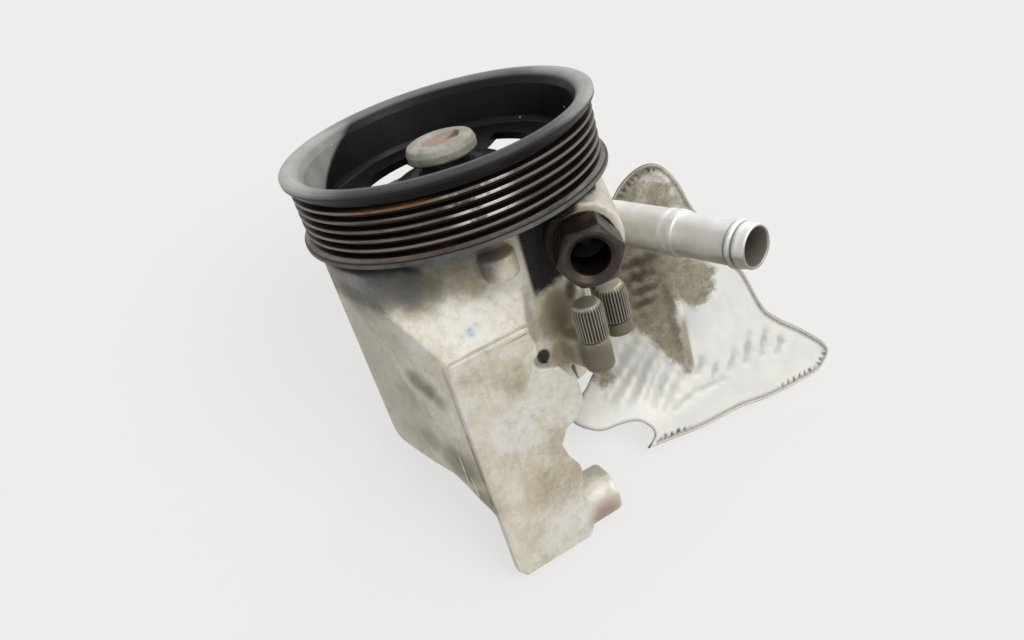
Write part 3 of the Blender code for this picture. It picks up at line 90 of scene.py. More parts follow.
def addPiece(name, points, faces, finish, body, nodes, matrix=None, sharpAngle=38.0):
    # makes the mesh in the pump's frame, in metres, with its finish, ties it to its body and hides the CAD
    # nodes it stands in for
    mesh = bpy.data.meshes.new(name)
    mesh.from_pydata([tuple(p) for p in points], [], faces)
    if matrix is not None:
        mesh.transform(matrix)
    mesh.transform(Matrix.Scale(mm, 4))
    bm = bmesh.new()
    bm.from_mesh(mesh)
    bmesh.ops.recalc_face_normals(bm, faces=bm.faces)
    bm.to_mesh(mesh)
    bm.free()
    mesh.shade_smooth()
    mesh.set_sharp_from_angle(angle=math.radians(sharpAngle))
    mesh.materials.append(finish)
    piece = bpy.data.objects.new(name, mesh)
    bpy.context.scene.collection.objects.link(piece)
    return dressPiece(piece, body, nodes)


def dressPiece(piece, body, nodes):
    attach(piece, body)
    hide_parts(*nodes)
    return piece


def revolve(path, segments, radiusAt=None):
    # a closed path turned about Z; a point on the axis becomes a pole
    points = []
    rows = []
    for radius, height in path:
        if radius < 1e-6:
            rows.append([len(points)])
            points.append((0, 0, height))
            continue
        row = []
        for i in range(segments):
            degrees = 360.0 * i / segments
            reach = radiusAt(radius, height, degrees) if radiusAt else radius
            row.append(len(points))
            points.append(polar(reach, degrees, height))
        rows.append(row)
    faces = []
    for low, high in zip(rows, rows[1:] + rows[:1]):
        if len(low) == 1 and len(high) == 1:
            continue
        for i in range(segments):
            j = (i + 1) % segments
            loop = [low[i % len(low)], low[j % len(low)], high[j % len(high)], high[i % len(high)]]
            faces.append(list(dict.fromkeys(loop)))
    return points, faces


def setAttribute(mesh, name, values):
    made = mesh.attributes.new(name, "FLOAT", "POINT")
    made.data.foreach_set("value", np.asarray(values, np.float32))


def vertexArray(mesh):
    points = np.zeros(len(mesh.vertices) * 3, np.float32)
    mesh.vertices.foreach_get("co", points)
    return points.reshape(-1, 3).astype(float) / mm


def normalArray(mesh):
    normals = np.zeros(len(mesh.vertices) * 3, np.float32)
    mesh.vertex_normals.foreach_get("vector", normals)
    return normals.reshape(-1, 3).astype(float)


def moveVertices(mesh, points):
    mesh.vertices.foreach_set("co", (np.asarray(points) * mm).astype(np.float32).ravel())
    mesh.update()


def smoothStep(low, high, values):
    t = np.clip((values - low) / (high - low), 0, 1)
    return t * t * (3 - 2 * t)


def segmentDistance(points, start, end):
    # distance of each point from a straight line piece, and where along it
    start = np.array(start, float)
    run = np.array(end, float) - start
    t = np.clip(((points - start) @ run) / (run @ run), 0, 1)
    return np.linalg.norm(points - start - t[:, None] * run, axis=1), t


# small helpers for materials

def linearColour(code):
    channels = [int(code[i:i + 2], 16) / 255 for i in (1, 3, 5)]
    channels = [c / 12.92 if c <= 0.04045 else ((c + 0.055) / 1.055) ** 2.4 for c in channels]
    return (*channels, 1.0)


def metres(lengths):
    return [length * mm for length in lengths]


# what most nodes of a kind are set to
usualSettings = {
    "Math": {"use_clamp": True},
    "MapRange": {"interpolation_type": "SMOOTHSTEP"},
    "Mix": {"data_type": "RGBA"},
}


def addNode(tree, kind, inputs=(), out=None, **settings):
    # one node with its settings; inputs go by order or by name, and each is a value, a hex colour or the
    # socket that feeds it; gives back the output socket asked for, or else the first one in use
    node = tree.nodes.new("ShaderNode" + kind)
    for name, value in {**usualSettings.get(kind, {}), **settings}.items():
        setattr(node, name, value)
    if isinstance(inputs, dict):
        pairs = [(node.inputs[name], value) for name, value in inputs.items()]
    else:
        pairs = zip([socket for socket in node.inputs if socket.enabled], inputs)
    for socket, value in pairs:
        if isinstance(value, bpy.types.NodeSocket):
            tree.links.new(value, socket)
        else:
            socket.default_value = linearColour(value) if isinstance(value, str) else value
    if out is not None:
        return node.outputs[out]
    return next((socket for socket in node.outputs if socket.enabled), None)


def newMaterial(name):
    made = bpy.data.materials.new(name)
    made.use_nodes = True
    tree = made.node_tree
    shader = tree.nodes["Principled BSDF"]
    place = addNode(tree, "TexCoord", out="Object")
    return made, tree, shader, place


def grain(tree, place, size, detail=4.0, roughness=0.55, stretch=(1, 1, 1), distortion=0.0):
    # cloudy pattern whose patches are about size millimetres across; real pores, grit and fine scratches
    # are nearer 0.1 mm and would not show in the render, so they are drawn 0.4 mm wide or coarser
    scaled = addNode(tree, "Mapping", {"Vector": place, "Scale": stretch})
    return addNode(tree, "TexNoise", {
        "Vector": scaled,
        "Scale": 0.5 / (size * mm),
        "Detail": detail,
        "Roughness": roughness,
        "Distortion": distortion,
    })


def relief(tree, shader, layers):
    # stacked bumps: (height socket, height in millimetres)
    normal = None
    for height, depth in layers:
        inputs = {"Height": height, "Distance": depth * mm, "Strength": 1.0}
        if normal is not None:
            inputs["Normal"] = normal
        normal = addNode(tree, "Bump", inputs)
    tree.links.new(normal, shader.inputs["Normal"])


print("helpers ready")


# finishes

def castAluminium():
    # die-cast aluminium, left as cast: dull grey-beige skin with the sparkle of tiny grains painted in as
    # pale specks, oil stains soaked into the pores, chalky white oxide and darker dirt; painted shade lies
    # along edges, under the pulley and beside the valve barrel, and painted highlight along edges
    look = {
        "skin": "#dad7cc",
        "skinWarm": "#cac3b0",
        "oxide": "#dfe2e3",
        "stain": "#988b6c",
        "shade": "#625c4d",
        "grime": "#0e0c0a",
        "paintedPulleyShadow": "#535a63",
        "bare": "#efeeea",
        "pinkish": "#a5908a",
        "mottleDark": "#aaa28e",
        "mottlePale": "#e6e5e0",
        "runs": "#9c9480",
        "markingPaint": "#5f98ae",
        "speck": "#7a7364",
        "sparkle": "#e8e8e6",
        # where the painted shade in the gap beside the valve barrel begins and is full, in millimetres
        "gapTop": (51.5, 56.0),
        "gapLeft": (16.2, 18.0),
        "gapRight": (40.0, 34.0),
        "gapFront": (-8.0, -14.0),
    }
    made, tree, shader, place = newMaterial("Cast aluminium, as cast and oil stained")
    clouds = grain(tree, place, 9, 5, 0.6)
    blotches = grain(tree, place, 4, 6, 0.65, distortion=0.4)
    fine = grain(tree, place, 0.9, 5, 0.7)
    sparkle = addNode(tree, "TexVoronoi", {"Vector": place, "Scale": 1 / (0.9 * mm)}, out="Distance")
    colour = addNode(tree, "Mix", [
        addNode(tree, "MapRange", [clouds, 0.35, 0.65]), look["skin"], look["skinWarm"]])
    colour = addNode(tree, "Mix", [
        addNode(tree, "MapRange", [blotches, 0.52, 0.70, 0, 0.6]), colour, look["oxide"]])
    mottle = grain(tree, place, 2.4, 7, 0.85)
    colour = addNode(tree, "Mix", [
        addNode(tree, "MapRange", [mottle, 0.50, 0.68, 0, 0.50]), colour, look["mottleDark"]])
    colour = addNode(tree, "Mix", [
        addNode(tree, "MapRange", [mottle, 0.48, 0.34, 0, 0.60]), colour, look["mottlePale"]])
    # long runs where oil and water have crept down the casting
    runs = grain(tree, place, 3.2, 5, 0.7, stretch=(1, 1, 0.28))
    colour = addNode(tree, "Mix", [
        addNode(tree, "MapRange", [runs, 0.54, 0.70, 0, 0.30]), colour, look["runs"]])
    drift = addNode(tree, "Math", [grain(tree, place, 6, 6, 0.75), 0.9], operation="MULTIPLY")
    oxide = addNode(tree, "MapRange", [
        addNode(tree, "Math", [
            addNode(tree, "Math", [
                addNode(tree, "Attribute", attribute_name="oxide", out="Fac"), drift], operation="ADD"),
            0.5], operation="MULTIPLY"), 0.32, 0.66])
    oxide = addNode(tree, "Math", [
        oxide, addNode(tree, "MapRange", [mottle, 0.60, 0.46, 0.35, 1.0])], operation="MULTIPLY")
    colour = addNode(tree, "Mix", [
        addNode(tree, "Math", [oxide, 0.90], operation="MULTIPLY"), colour, look["oxide"]])
    stainNoise = addNode(tree, "Math", [
        grain(tree, place, 2.2, 6, 0.7, distortion=0.8), 0.7], operation="MULTIPLY")
    stain = addNode(tree, "MapRange", [
        addNode(tree, "Math", [
            addNode(tree, "Attribute", attribute_name="stain", out="Fac"), stainNoise], operation="ADD"),
        0.45, 1.05])
    colour = addNode(tree, "Mix", [
        addNode(tree, "Math", [stain, 0.80], operation="MULTIPLY"), colour, look["stain"]])
    # painted shade: the left wall, the pocket dent and the bosses are darkened
    colour = addNode(tree, "Mix", [
        addNode(tree, "Math", [
            addNode(tree, "Attribute", attribute_name="shade", out="Fac"), 0.88], operation="MULTIPLY"),
        colour, look["shade"]])
    # the pulley's painted shadow: a blue-grey band on the hood just below it
    colour = addNode(tree, "Mix", [
        addNode(tree, "Math", [
            addNode(tree, "Attribute", attribute_name="paintedPulleyShadow", out="Fac"), 0.9], operation="MULTIPLY"),
        colour, look["paintedPulleyShadow"]])
    colour = addNode(tree, "Mix", [
        addNode(tree, "Attribute", attribute_name="pinkish", out="Fac"), colour, look["pinkish"]])
    # a dab of marking paint on the sloped panel
    colour = addNode(tree, "Mix", [
        addNode(tree, "Math", [
            addNode(tree, "Attribute", attribute_name="teal", out="Fac"),
            addNode(tree, "MapRange", [mottle, 0.62, 0.42])], operation="MULTIPLY"), colour,
        look["markingPaint"]])
    # pale rubbed metal, with a painted highlight along edges and ridges
    bare = addNode(tree, "MapRange", [
        addNode(tree, "Math", [
            addNode(tree, "Attribute", attribute_name="rubbed", out="Fac"),
            addNode(tree, "Math", [fine, 0.35], operation="MULTIPLY")], operation="ADD"), 0.50, 0.85])
    colour = addNode(tree, "Mix", [
        addNode(tree, "Math", [bare, 0.8], operation="MULTIPLY"), colour, look["bare"]])
    # dirt, and painted shade along edges, beside the union and under the pulley
    grimeNoise = addNode(tree, "Math", [blotches, 0.4], operation="MULTIPLY")
    grime = addNode(tree, "MapRange", [
        addNode(tree, "Math", [
            addNode(tree, "Attribute", attribute_name="grime", out="Fac"), grimeNoise], operation="ADD"),
        0.42, 0.85])
    colour = addNode(tree, "Mix", [
        addNode(tree, "Math", [grime, 0.95], operation="MULTIPLY"), colour, look["grime"]])
    speck = addNode(tree, "MapRange", [fine, 0.60, 0.74, 0, 0.45])
    colour = addNode(tree, "Mix", [speck, colour, look["speck"]])
    # the gap between hood and valve barrel is painted black: painted shade, with oily dust
    x, y, z = addNode(tree, "SeparateXYZ", [place]).node.outputs
    lowEdge = addNode(tree, "MapRange", [
        addNode(tree, "Math", [
            z, addNode(tree, "Math", [blotches, 0.012], operation="MULTIPLY")], operation="ADD"),
        *metres(look["gapTop"])])
    paintedGapShade = addNode(tree, "Math", [
        lowEdge, addNode(tree, "MapRange", [x, *metres(look["gapLeft"])])], operation="MULTIPLY")
    paintedGapShade = addNode(tree, "Math", [
        paintedGapShade, addNode(tree, "MapRange", [x, *metres(look["gapRight"])])], operation="MULTIPLY")
    paintedGapShade = addNode(tree, "Math", [
        paintedGapShade, addNode(tree, "MapRange", [y, *metres(look["gapFront"])])], operation="MULTIPLY")
    colour = addNode(tree, "Mix", [
        addNode(tree, "Math", [paintedGapShade, 0.97], operation="MULTIPLY"), colour, look["grime"]])
    dull = addNode(tree, "Math", [
        paintedGapShade, addNode(tree, "Math", [grime, 0.8], operation="MULTIPLY")], operation="ADD")
    # pale specks for the sparkle of the grains: a painted highlight
    colour = addNode(tree, "Mix", [
        addNode(tree, "MapRange", [sparkle, 0.16, 0.05, 0, 0.35]), colour, look["sparkle"]])
    tree.links.new(colour, shader.inputs["Base Color"])
    tree.links.new(
        addNode(tree, "Math", [addNode(tree, "MapRange", [dull, 1.0, 0.0]), 0.30], operation="MULTIPLY"),
        shader.inputs["Metallic"])
    tree.links.new(
        addNode(tree, "MapRange", [
            addNode(tree, "Math", [
                addNode(tree, "Math", [fine, 0.5], operation="MULTIPLY"),
                addNode(tree, "Math", [
                    addNode(tree, "Math", [stain, 0.3], operation="MULTIPLY"),
                    dull], operation="ADD")], operation="ADD"), 0.1, 0.9, 0.44, 0.85]),
        shader.inputs["Roughness"])
    shader.inputs["Specular IOR Level"].default_value = 0.3
    relief(tree, shader, [(clouds, 0.45), (blotches, 0.35), (mottle, 0.16), (fine, 0.10)])
    return made


def paintedPulleySteel():
    # electro-coated steel: semi-gloss black skin; the belt has worn the rib tips to brown bare metal and the
    # handled lips have gone matt grey
    look = {
        "paint": "#0c0d0f",
        "flank": "#0f0d0b",
        "tip": "#80766b",
        "rust": "#84532d",
        "lip": "#b4b7b4",
        "primer": "#3a211c",
        "ribTopAt": 106.0,
        "ribEndAt": 84.6,
        "tipFrom": 58.75,
        "tipTo": 59.25,
        "lipFrom": 108.9,
        "rustHeight": 102.9,
        "rustTurn": -1.98,
        "glintTurn": -1.42,
        "smudge": "#17191c",
        "scuffAndRimHighlight": "#6d7172",
        "paintedWallLight": "#a6a9a6",
        "dust": "#5a5954",
        "grit": "#c4bf9f",
        "glint": "#e9e5dc",
        "gritSpacing": 9,
        # where each begins and where it is full, in millimetres from the axis, across or up
        "outside": (55.0, 55.6),
        "leftHand": (-30.0, -60.0),
        "rightHand": (35.0, 60.0),
        "backHand": (-10.0, 50.0),
        "primerTop": (87.0, 86.2),
        "primerFoot": (84.2, 84.8),
        "scuffAndHighlightEdge": (60.85, 61.25),
        "scuffAndHighlightTop": (85.0, 84.0),
        "paintedLightInner": (49.5, 50.3),
        "paintedLightOuter": (57.0, 55.5),
        "paintedLightSlope": -1.95,
        "paintedLightSlant": (-170.0, -174.5),
        "paintedLightRight": (-26.0, -32.0),
        "paintedLightFade": (-36.0, -56.0),
        "paintedLightHeight": (90.0, 100.0),
        "gritReach": (56.0, 55.0),
        "glintFoot": (90.5, 92.0),
        "glintCrest": (59.05, 59.25),
    }
    made, tree, shader, place = newMaterial("Black e-coated steel, worn on the ribs")
    x, y, z = addNode(tree, "SeparateXYZ", [place]).node.outputs
    square = addNode(tree, "Math", [
        x, x, addNode(tree, "Math", [y, y], operation="MULTIPLY")], operation="MULTIPLY_ADD", use_clamp=False)
    radius = addNode(tree, "Math", [square, 0.5], operation="POWER", use_clamp=False)
    turn = addNode(tree, "Math", [y, x], operation="ARCTAN2", use_clamp=False)
    smudge = grain(tree, place, 7, 5, 0.6)
    fine = grain(tree, place, 0.8, 5, 0.7)
    # long faint rings, as the lathe and the belt leave them
    rings = grain(tree, place, 14, 4, 0.6, stretch=(1, 1, 14))
    inRibs = addNode(tree, "Math", [
        addNode(tree, "MapRange", [z, look["ribTopAt"] * mm, (look["ribTopAt"] - 0.4) * mm]),
        addNode(tree, "MapRange", [
            z, look["ribEndAt"] * mm, (look["ribEndAt"] + 0.4) * mm])], operation="MULTIPLY")
    outside = addNode(tree, "MapRange", [radius, *metres(look["outside"])])
    inRibs = addNode(tree, "Math", [inRibs, outside], operation="MULTIPLY")
    tips = addNode(tree, "Math", [
        addNode(tree, "MapRange", [radius, look["tipFrom"] * mm, look["tipTo"] * mm]),
        inRibs], operation="MULTIPLY")
    worn = addNode(tree, "Math", [
        tips,
        addNode(tree, "MapRange", [
            addNode(tree, "Math", [
                rings, addNode(tree, "Math", [fine, 0.25], operation="MULTIPLY")], operation="ADD"), 0.38,
            0.72, 0.25, 1.0])], operation="MULTIPLY")
    colour = addNode(tree, "Mix", [
        addNode(tree, "MapRange", [smudge, 0.4, 0.7, 0, 0.5]), look["paint"], look["smudge"]])
    colour = addNode(tree, "Mix", [inRibs, colour, look["flank"]])
    # the lip is greyest where hands and the belt lever touch it: at the left and the far right
    leftSide = addNode(tree, "MapRange", [x, *metres(look["leftHand"])])
    rightSide = addNode(tree, "MapRange", [x, *metres(look["rightHand"])])
    handled = addNode(tree, "Math", [
        leftSide, addNode(tree, "Math", [rightSide, 0.8], operation="MULTIPLY")], operation="ADD")
    handled = addNode(tree, "Math", [
        handled,
        addNode(tree, "Math", [
            addNode(tree, "MapRange", [y, *metres(look["backHand"])]),
            0.30], operation="MULTIPLY")], operation="ADD")
    handled = addNode(tree, "Math", [handled, 0.14], operation="ADD")
    lip = addNode(tree, "Math", [
        addNode(tree, "MapRange", [z, look["lipFrom"] * mm, (look["lipFrom"] + 1.6) * mm]),
        addNode(tree, "MapRange", [smudge, 0.25, 0.6, 0.75, 1.0])], operation="MULTIPLY")
    colour = addNode(tree, "Mix", [
        addNode(tree, "Math", [lip, handled], operation="MULTIPLY"), colour, look["lip"]])
    colour = addNode(tree, "Mix", [worn, colour, look["tip"]])
    streak = addNode(tree, "Math", [
        addNode(tree, "MapRange", [z, (look["rustHeight"] - 0.9) * mm, look["rustHeight"] * mm]),
        addNode(tree, "MapRange", [
            z, (look["rustHeight"] + 1.3) * mm, (look["rustHeight"] + 0.5) * mm])], operation="MULTIPLY")
    awayFromRust = addNode(tree, "Math", [turn, look["rustTurn"]], operation="SUBTRACT", use_clamp=False)
    awayFromRust = addNode(tree, "Math", [awayFromRust], operation="ABSOLUTE", use_clamp=False)
    streak = addNode(tree, "Math", [
        streak, addNode(tree, "MapRange", [awayFromRust, 0.42, 0.10])], operation="MULTIPLY")
    streak = addNode(tree, "Math", [streak, inRibs], operation="MULTIPLY")
    colour = addNode(tree, "Mix", [
        addNode(tree, "Math", [
            streak,
            addNode(tree, "MapRange", [
                grain(tree, place, 1.8, 5, 0.7), 0.40, 0.62, 0.25, 1.0])], operation="MULTIPLY"), colour,
        look["rust"]])
    primer = addNode(tree, "Math", [
        addNode(tree, "MapRange", [z, *metres(look["primerTop"])]),
        addNode(tree, "MapRange", [z, *metres(look["primerFoot"])])], operation="MULTIPLY")
    colour = addNode(tree, "Mix", [
        addNode(tree, "Math", [
            addNode(tree, "Math", [primer, outside], operation="MULTIPLY"),
            addNode(tree, "MapRange", [smudge, 0.5, 0.75, 0, 0.7])], operation="MULTIPLY"), colour,
        look["primer"]])
    # lower flange: its edge is painted grey, partly scuffing and partly a painted highlight on the rim
    scuffAndRimHighlight = addNode(tree, "Math", [
        addNode(tree, "MapRange", [radius, *metres(look["scuffAndHighlightEdge"])]),
        addNode(tree, "MapRange", [z, *metres(look["scuffAndHighlightTop"])])], operation="MULTIPLY")
    colour = addNode(tree, "Mix", [
        addNode(tree, "Math", [
            scuffAndRimHighlight, addNode(tree, "MapRange", [smudge, 0.3, 0.6, 0.35, 0.85])], operation="MULTIPLY"), colour,
        look["scuffAndRimHighlight"]])
    # painted light: the left part of the inner wall is painted grey as if lit, ending along a slanted line
    # where the rim's shadow falls
    slant = addNode(tree, "Math", [z, look["paintedLightSlope"], y], operation="MULTIPLY_ADD", use_clamp=False)
    paintedWallLight = addNode(tree, "Math", [
        addNode(tree, "MapRange", [radius, *metres(look["paintedLightInner"])]),
        addNode(tree, "MapRange", [radius, *metres(look["paintedLightOuter"])])], operation="MULTIPLY")
    paintedWallLight = addNode(tree, "Math", [
        paintedWallLight, addNode(tree, "MapRange", [slant, *metres(look["paintedLightSlant"])])], operation="MULTIPLY")
    paintedWallLight = addNode(tree, "Math", [
        paintedWallLight, addNode(tree, "MapRange", [x, *metres(look["paintedLightRight"])])], operation="MULTIPLY")
    paintedWallLight = addNode(tree, "Math", [
        paintedWallLight, addNode(tree, "MapRange", [x, *metres(look["paintedLightFade"]), 0.60, 1.0])], operation="MULTIPLY")
    paintedWallLight = addNode(tree, "Math", [
        paintedWallLight, addNode(tree, "MapRange", [z, *metres(look["paintedLightHeight"]), 0.35, 1.0])], operation="MULTIPLY")
    colour = addNode(tree, "Mix", [
        addNode(tree, "Math", [
            paintedWallLight, addNode(tree, "MapRange", [smudge, 0.3, 0.6, 0.75, 0.95])], operation="MULTIPLY"), colour,
        look["paintedWallLight"]])
    dust = addNode(tree, "MapRange", [fine, 0.66, 0.76, 0, 0.5])
    colour = addNode(tree, "Mix", [dust, colour, look["dust"]])
    # single grains of grit lying in the cup
    gritScale = 1 / (look["gritSpacing"] * mm)
    grit = addNode(tree, "TexVoronoi", {"Vector": place, "Scale": gritScale}, out="Distance")
    grit = addNode(tree, "Math", [
        addNode(tree, "MapRange", [grit, 0.085, 0.060, 0, 0.9]),
        addNode(tree, "MapRange", [radius, *metres(look["gritReach"])])], operation="MULTIPLY")
    colour = addNode(tree, "Mix", [grit, colour, look["grit"]])
    # painted highlight: the rib crests are painted pale at the front right
    awayFromGlint = addNode(tree, "Math", [turn, look["glintTurn"]], operation="SUBTRACT", use_clamp=False)
    awayFromGlint = addNode(tree, "Math", [awayFromGlint], operation="ABSOLUTE", use_clamp=False)
    glint = addNode(tree, "Math", [
        tips, addNode(tree, "MapRange", [awayFromGlint, 0.24, 0.10])], operation="MULTIPLY")
    glint = addNode(tree, "Math", [
        glint, addNode(tree, "MapRange", [z, *metres(look["glintFoot"])])], operation="MULTIPLY")
    glint = addNode(tree, "Math", [
        glint, addNode(tree, "MapRange", [grain(tree, place, 5, 5, 0.7), 0.42, 0.55])], operation="MULTIPLY")
    glint = addNode(tree, "Math", [
        glint, addNode(tree, "MapRange", [radius, *metres(look["glintCrest"])])], operation="MULTIPLY")
    colour = addNode(tree, "Mix", [
        addNode(tree, "Math", [glint, 0.75], operation="MULTIPLY"), colour, look["glint"]])
    tree.links.new(colour, shader.inputs["Base Color"])
    tree.links.new(addNode(tree, "Math", [worn, 0.8], operation="MULTIPLY"), shader.inputs["Metallic"])
    rough = addNode(tree, "MapRange", [
        addNode(tree, "Math", [
            addNode(tree, "Math", [smudge, 0.6], operation="MULTIPLY"),
            addNode(tree, "Math", [fine, 0.3], operation="MULTIPLY")], operation="ADD"), 0.2, 0.75, 0.30,
        0.52])
    tree.links.new(rough, shader.inputs["Roughness"])
    shader.inputs["Specular IOR Level"].default_value = 0.22
    relief(tree, shader, [(smudge, 0.10), (rings, 0.05), (fine, 0.03)])
    return made


def greyPlatedBolt():
    # zinc-plated steel gone dull: chalky grey-cream skin, pinkish rust bleeding out of the dished recess
    look = {"skin": "#98968c", "chalk": "#b9b7ae", "pink": "#a98a7e", "brown": "#5c4a30", "dark": "#1d1a18"}
    made, tree, shader, place = newMaterial("Dull zinc plate with rust in the recess")
    clouds = grain(tree, place, 3, 5, 0.65)
    fine = grain(tree, place, 0.6, 4, 0.7)
    colour = addNode(tree, "Mix", [
        addNode(tree, "MapRange", [clouds, 0.35, 0.65]), look["skin"], look["chalk"]])
    pinkAmount = addNode(tree, "MapRange", [
        addNode(tree, "Math", [
            addNode(tree, "Attribute", attribute_name="recess", out="Fac"),
            addNode(tree, "Math", [clouds, 0.5], operation="MULTIPLY")], operation="ADD"), 0.55, 1.00])
    pinkAmount = addNode(tree, "Math", [
        pinkAmount,
        addNode(tree, "MapRange", [
            grain(tree, place, 2.2, 6, 0.75), 0.35, 0.60, 0.35, 0.95])], operation="MULTIPLY")
    colour = addNode(tree, "Mix", [pinkAmount, colour, look["pink"]])
    spot = addNode(tree, "MapRange", [
        addNode(tree, "Math", [
            addNode(tree, "Attribute", attribute_name="spot", out="Fac"),
            addNode(tree, "Math", [fine, 0.4], operation="MULTIPLY")], operation="ADD"), 0.4, 1.0])
    colour = addNode(tree, "Mix", [
        addNode(tree, "Math", [spot, 0.9], operation="MULTIPLY"), colour, look["brown"]])
    colour = addNode(tree, "Mix", [
        addNode(tree, "Attribute", attribute_name="under", out="Fac"), colour, look["dark"]])
    tree.links.new(colour, shader.inputs["Base Color"])
    shader.inputs["Metallic"].default_value = 0.25
    tree.links.new(addNode(tree, "MapRange", [clouds, 0.3, 0.7, 0.5, 0.66]), shader.inputs["Roughness"])
    relief(tree, shader, [(clouds, 0.12), (fine, 0.05)])
    return made


def heatTintedUnionSteel():
    # turned steel that has run hot and been soaked in oil: purple-brown tint; the bore is painted nearly
    # black as its shade, and the upper right facets are painted lighter, wear with a painted highlight
    look = {"skin": "#3a3532", "warm": "#4a3f3a", "worn": "#c2bbab", "paintedBoreShade": "#0b0a0a",
            "speck": "#6d6158"}
    made, tree, shader, place = newMaterial("Heat-tinted turned steel")
    clouds = grain(tree, place, 3.5, 5, 0.6)
    fine = grain(tree, place, 0.5, 5, 0.7)
    colour = addNode(tree, "Mix", [
        addNode(tree, "MapRange", [clouds, 0.35, 0.65]), look["skin"], look["warm"]])
    # the upper right facets are painted lighter: wear with a painted highlight
    worn = addNode(tree, "MapRange", [
        addNode(tree, "Math", [
            addNode(tree, "Attribute", attribute_name="worn", out="Fac"),
            addNode(tree, "Math", [clouds, 0.4], operation="MULTIPLY")], operation="ADD"), 0.5, 0.95])
    colour = addNode(tree, "Mix", [
        addNode(tree, "Math", [worn, 0.75], operation="MULTIPLY"), colour, look["worn"]])
    colour = addNode(tree, "Mix", [
        addNode(tree, "MapRange", [fine, 0.62, 0.75, 0, 0.4]), colour, look["speck"]])
    # the bore is painted nearly black: painted shade
    colour = addNode(tree, "Mix", [
        addNode(tree, "Attribute", attribute_name="paintedBoreShade", out="Fac"), colour, look["paintedBoreShade"]])
    tree.links.new(colour, shader.inputs["Base Color"])
    shader.inputs["Metallic"].default_value = 0.75
    tree.links.new(addNode(tree, "MapRange", [clouds, 0.3, 0.7, 0.32, 0.5]), shader.inputs["Roughness"])
    relief(tree, shader, [(clouds, 0.10), (fine, 0.04)])
    return made


def satinTubeAluminium():
    # drawn aluminium tube, etched to an even satin; light scratches run round where the clip sat
    look = {"skin": "#fbfbf9", "cool": "#ededec", "dust": "#7d7567", "inside": "#8b837c",
            "groove": "#2c2927"}
    made, tree, shader, place = newMaterial("Drawn aluminium tube, satin")
    clouds = grain(tree, place, 6, 4, 0.55)
    fine = grain(tree, place, 0.5, 5, 0.7)
    colour = addNode(tree, "Mix", [
        addNode(tree, "MapRange", [clouds, 0.35, 0.65]), look["skin"], look["cool"]])
    dust = addNode(tree, "MapRange", [
        addNode(tree, "Math", [
            addNode(tree, "Attribute", attribute_name="dust", out="Fac"),
            addNode(tree, "Math", [clouds, 0.5], operation="MULTIPLY")], operation="ADD"), 0.45, 1.0])
    # its underside is darker: dust and painted shade
    facing = addNode(tree, "NewGeometry", out="Normal")
    facing = addNode(tree, "VectorMath", [facing, (0.10, -0.55, -0.83)], operation="DOT_PRODUCT", out="Value")
    dust = addNode(tree, "Math", [
        dust, addNode(tree, "MapRange", [facing, -0.10, 0.70, 0, 1.0])], operation="ADD")
    colour = addNode(tree, "Mix", [
        addNode(tree, "Math", [dust, 0.8], operation="MULTIPLY"), colour, look["dust"]])
    colour = addNode(tree, "Mix", [
        addNode(tree, "Attribute", attribute_name="inside", out="Fac"), colour, look["inside"]])
    colour = addNode(tree, "Mix", [
        addNode(tree, "Math", [
            addNode(tree, "Attribute", attribute_name="groove", out="Fac"), 0.85], operation="MULTIPLY"),
        colour, look["groove"]])
    tree.links.new(colour, shader.inputs["Base Color"])
    shader.inputs["Metallic"].default_value = 0.45
    tree.links.new(
        addNode(tree, "MapRange", [
            addNode(tree, "Math", [
                addNode(tree, "Math", [clouds, 0.5], operation="MULTIPLY"),
                addNode(tree, "Math", [fine, 0.4], operation="MULTIPLY")], operation="ADD"), 0.2, 0.7, 0.42,
            0.58]), shader.inputs["Roughness"])
    relief(tree, shader, [(clouds, 0.08), (fine, 0.025)])
    return made


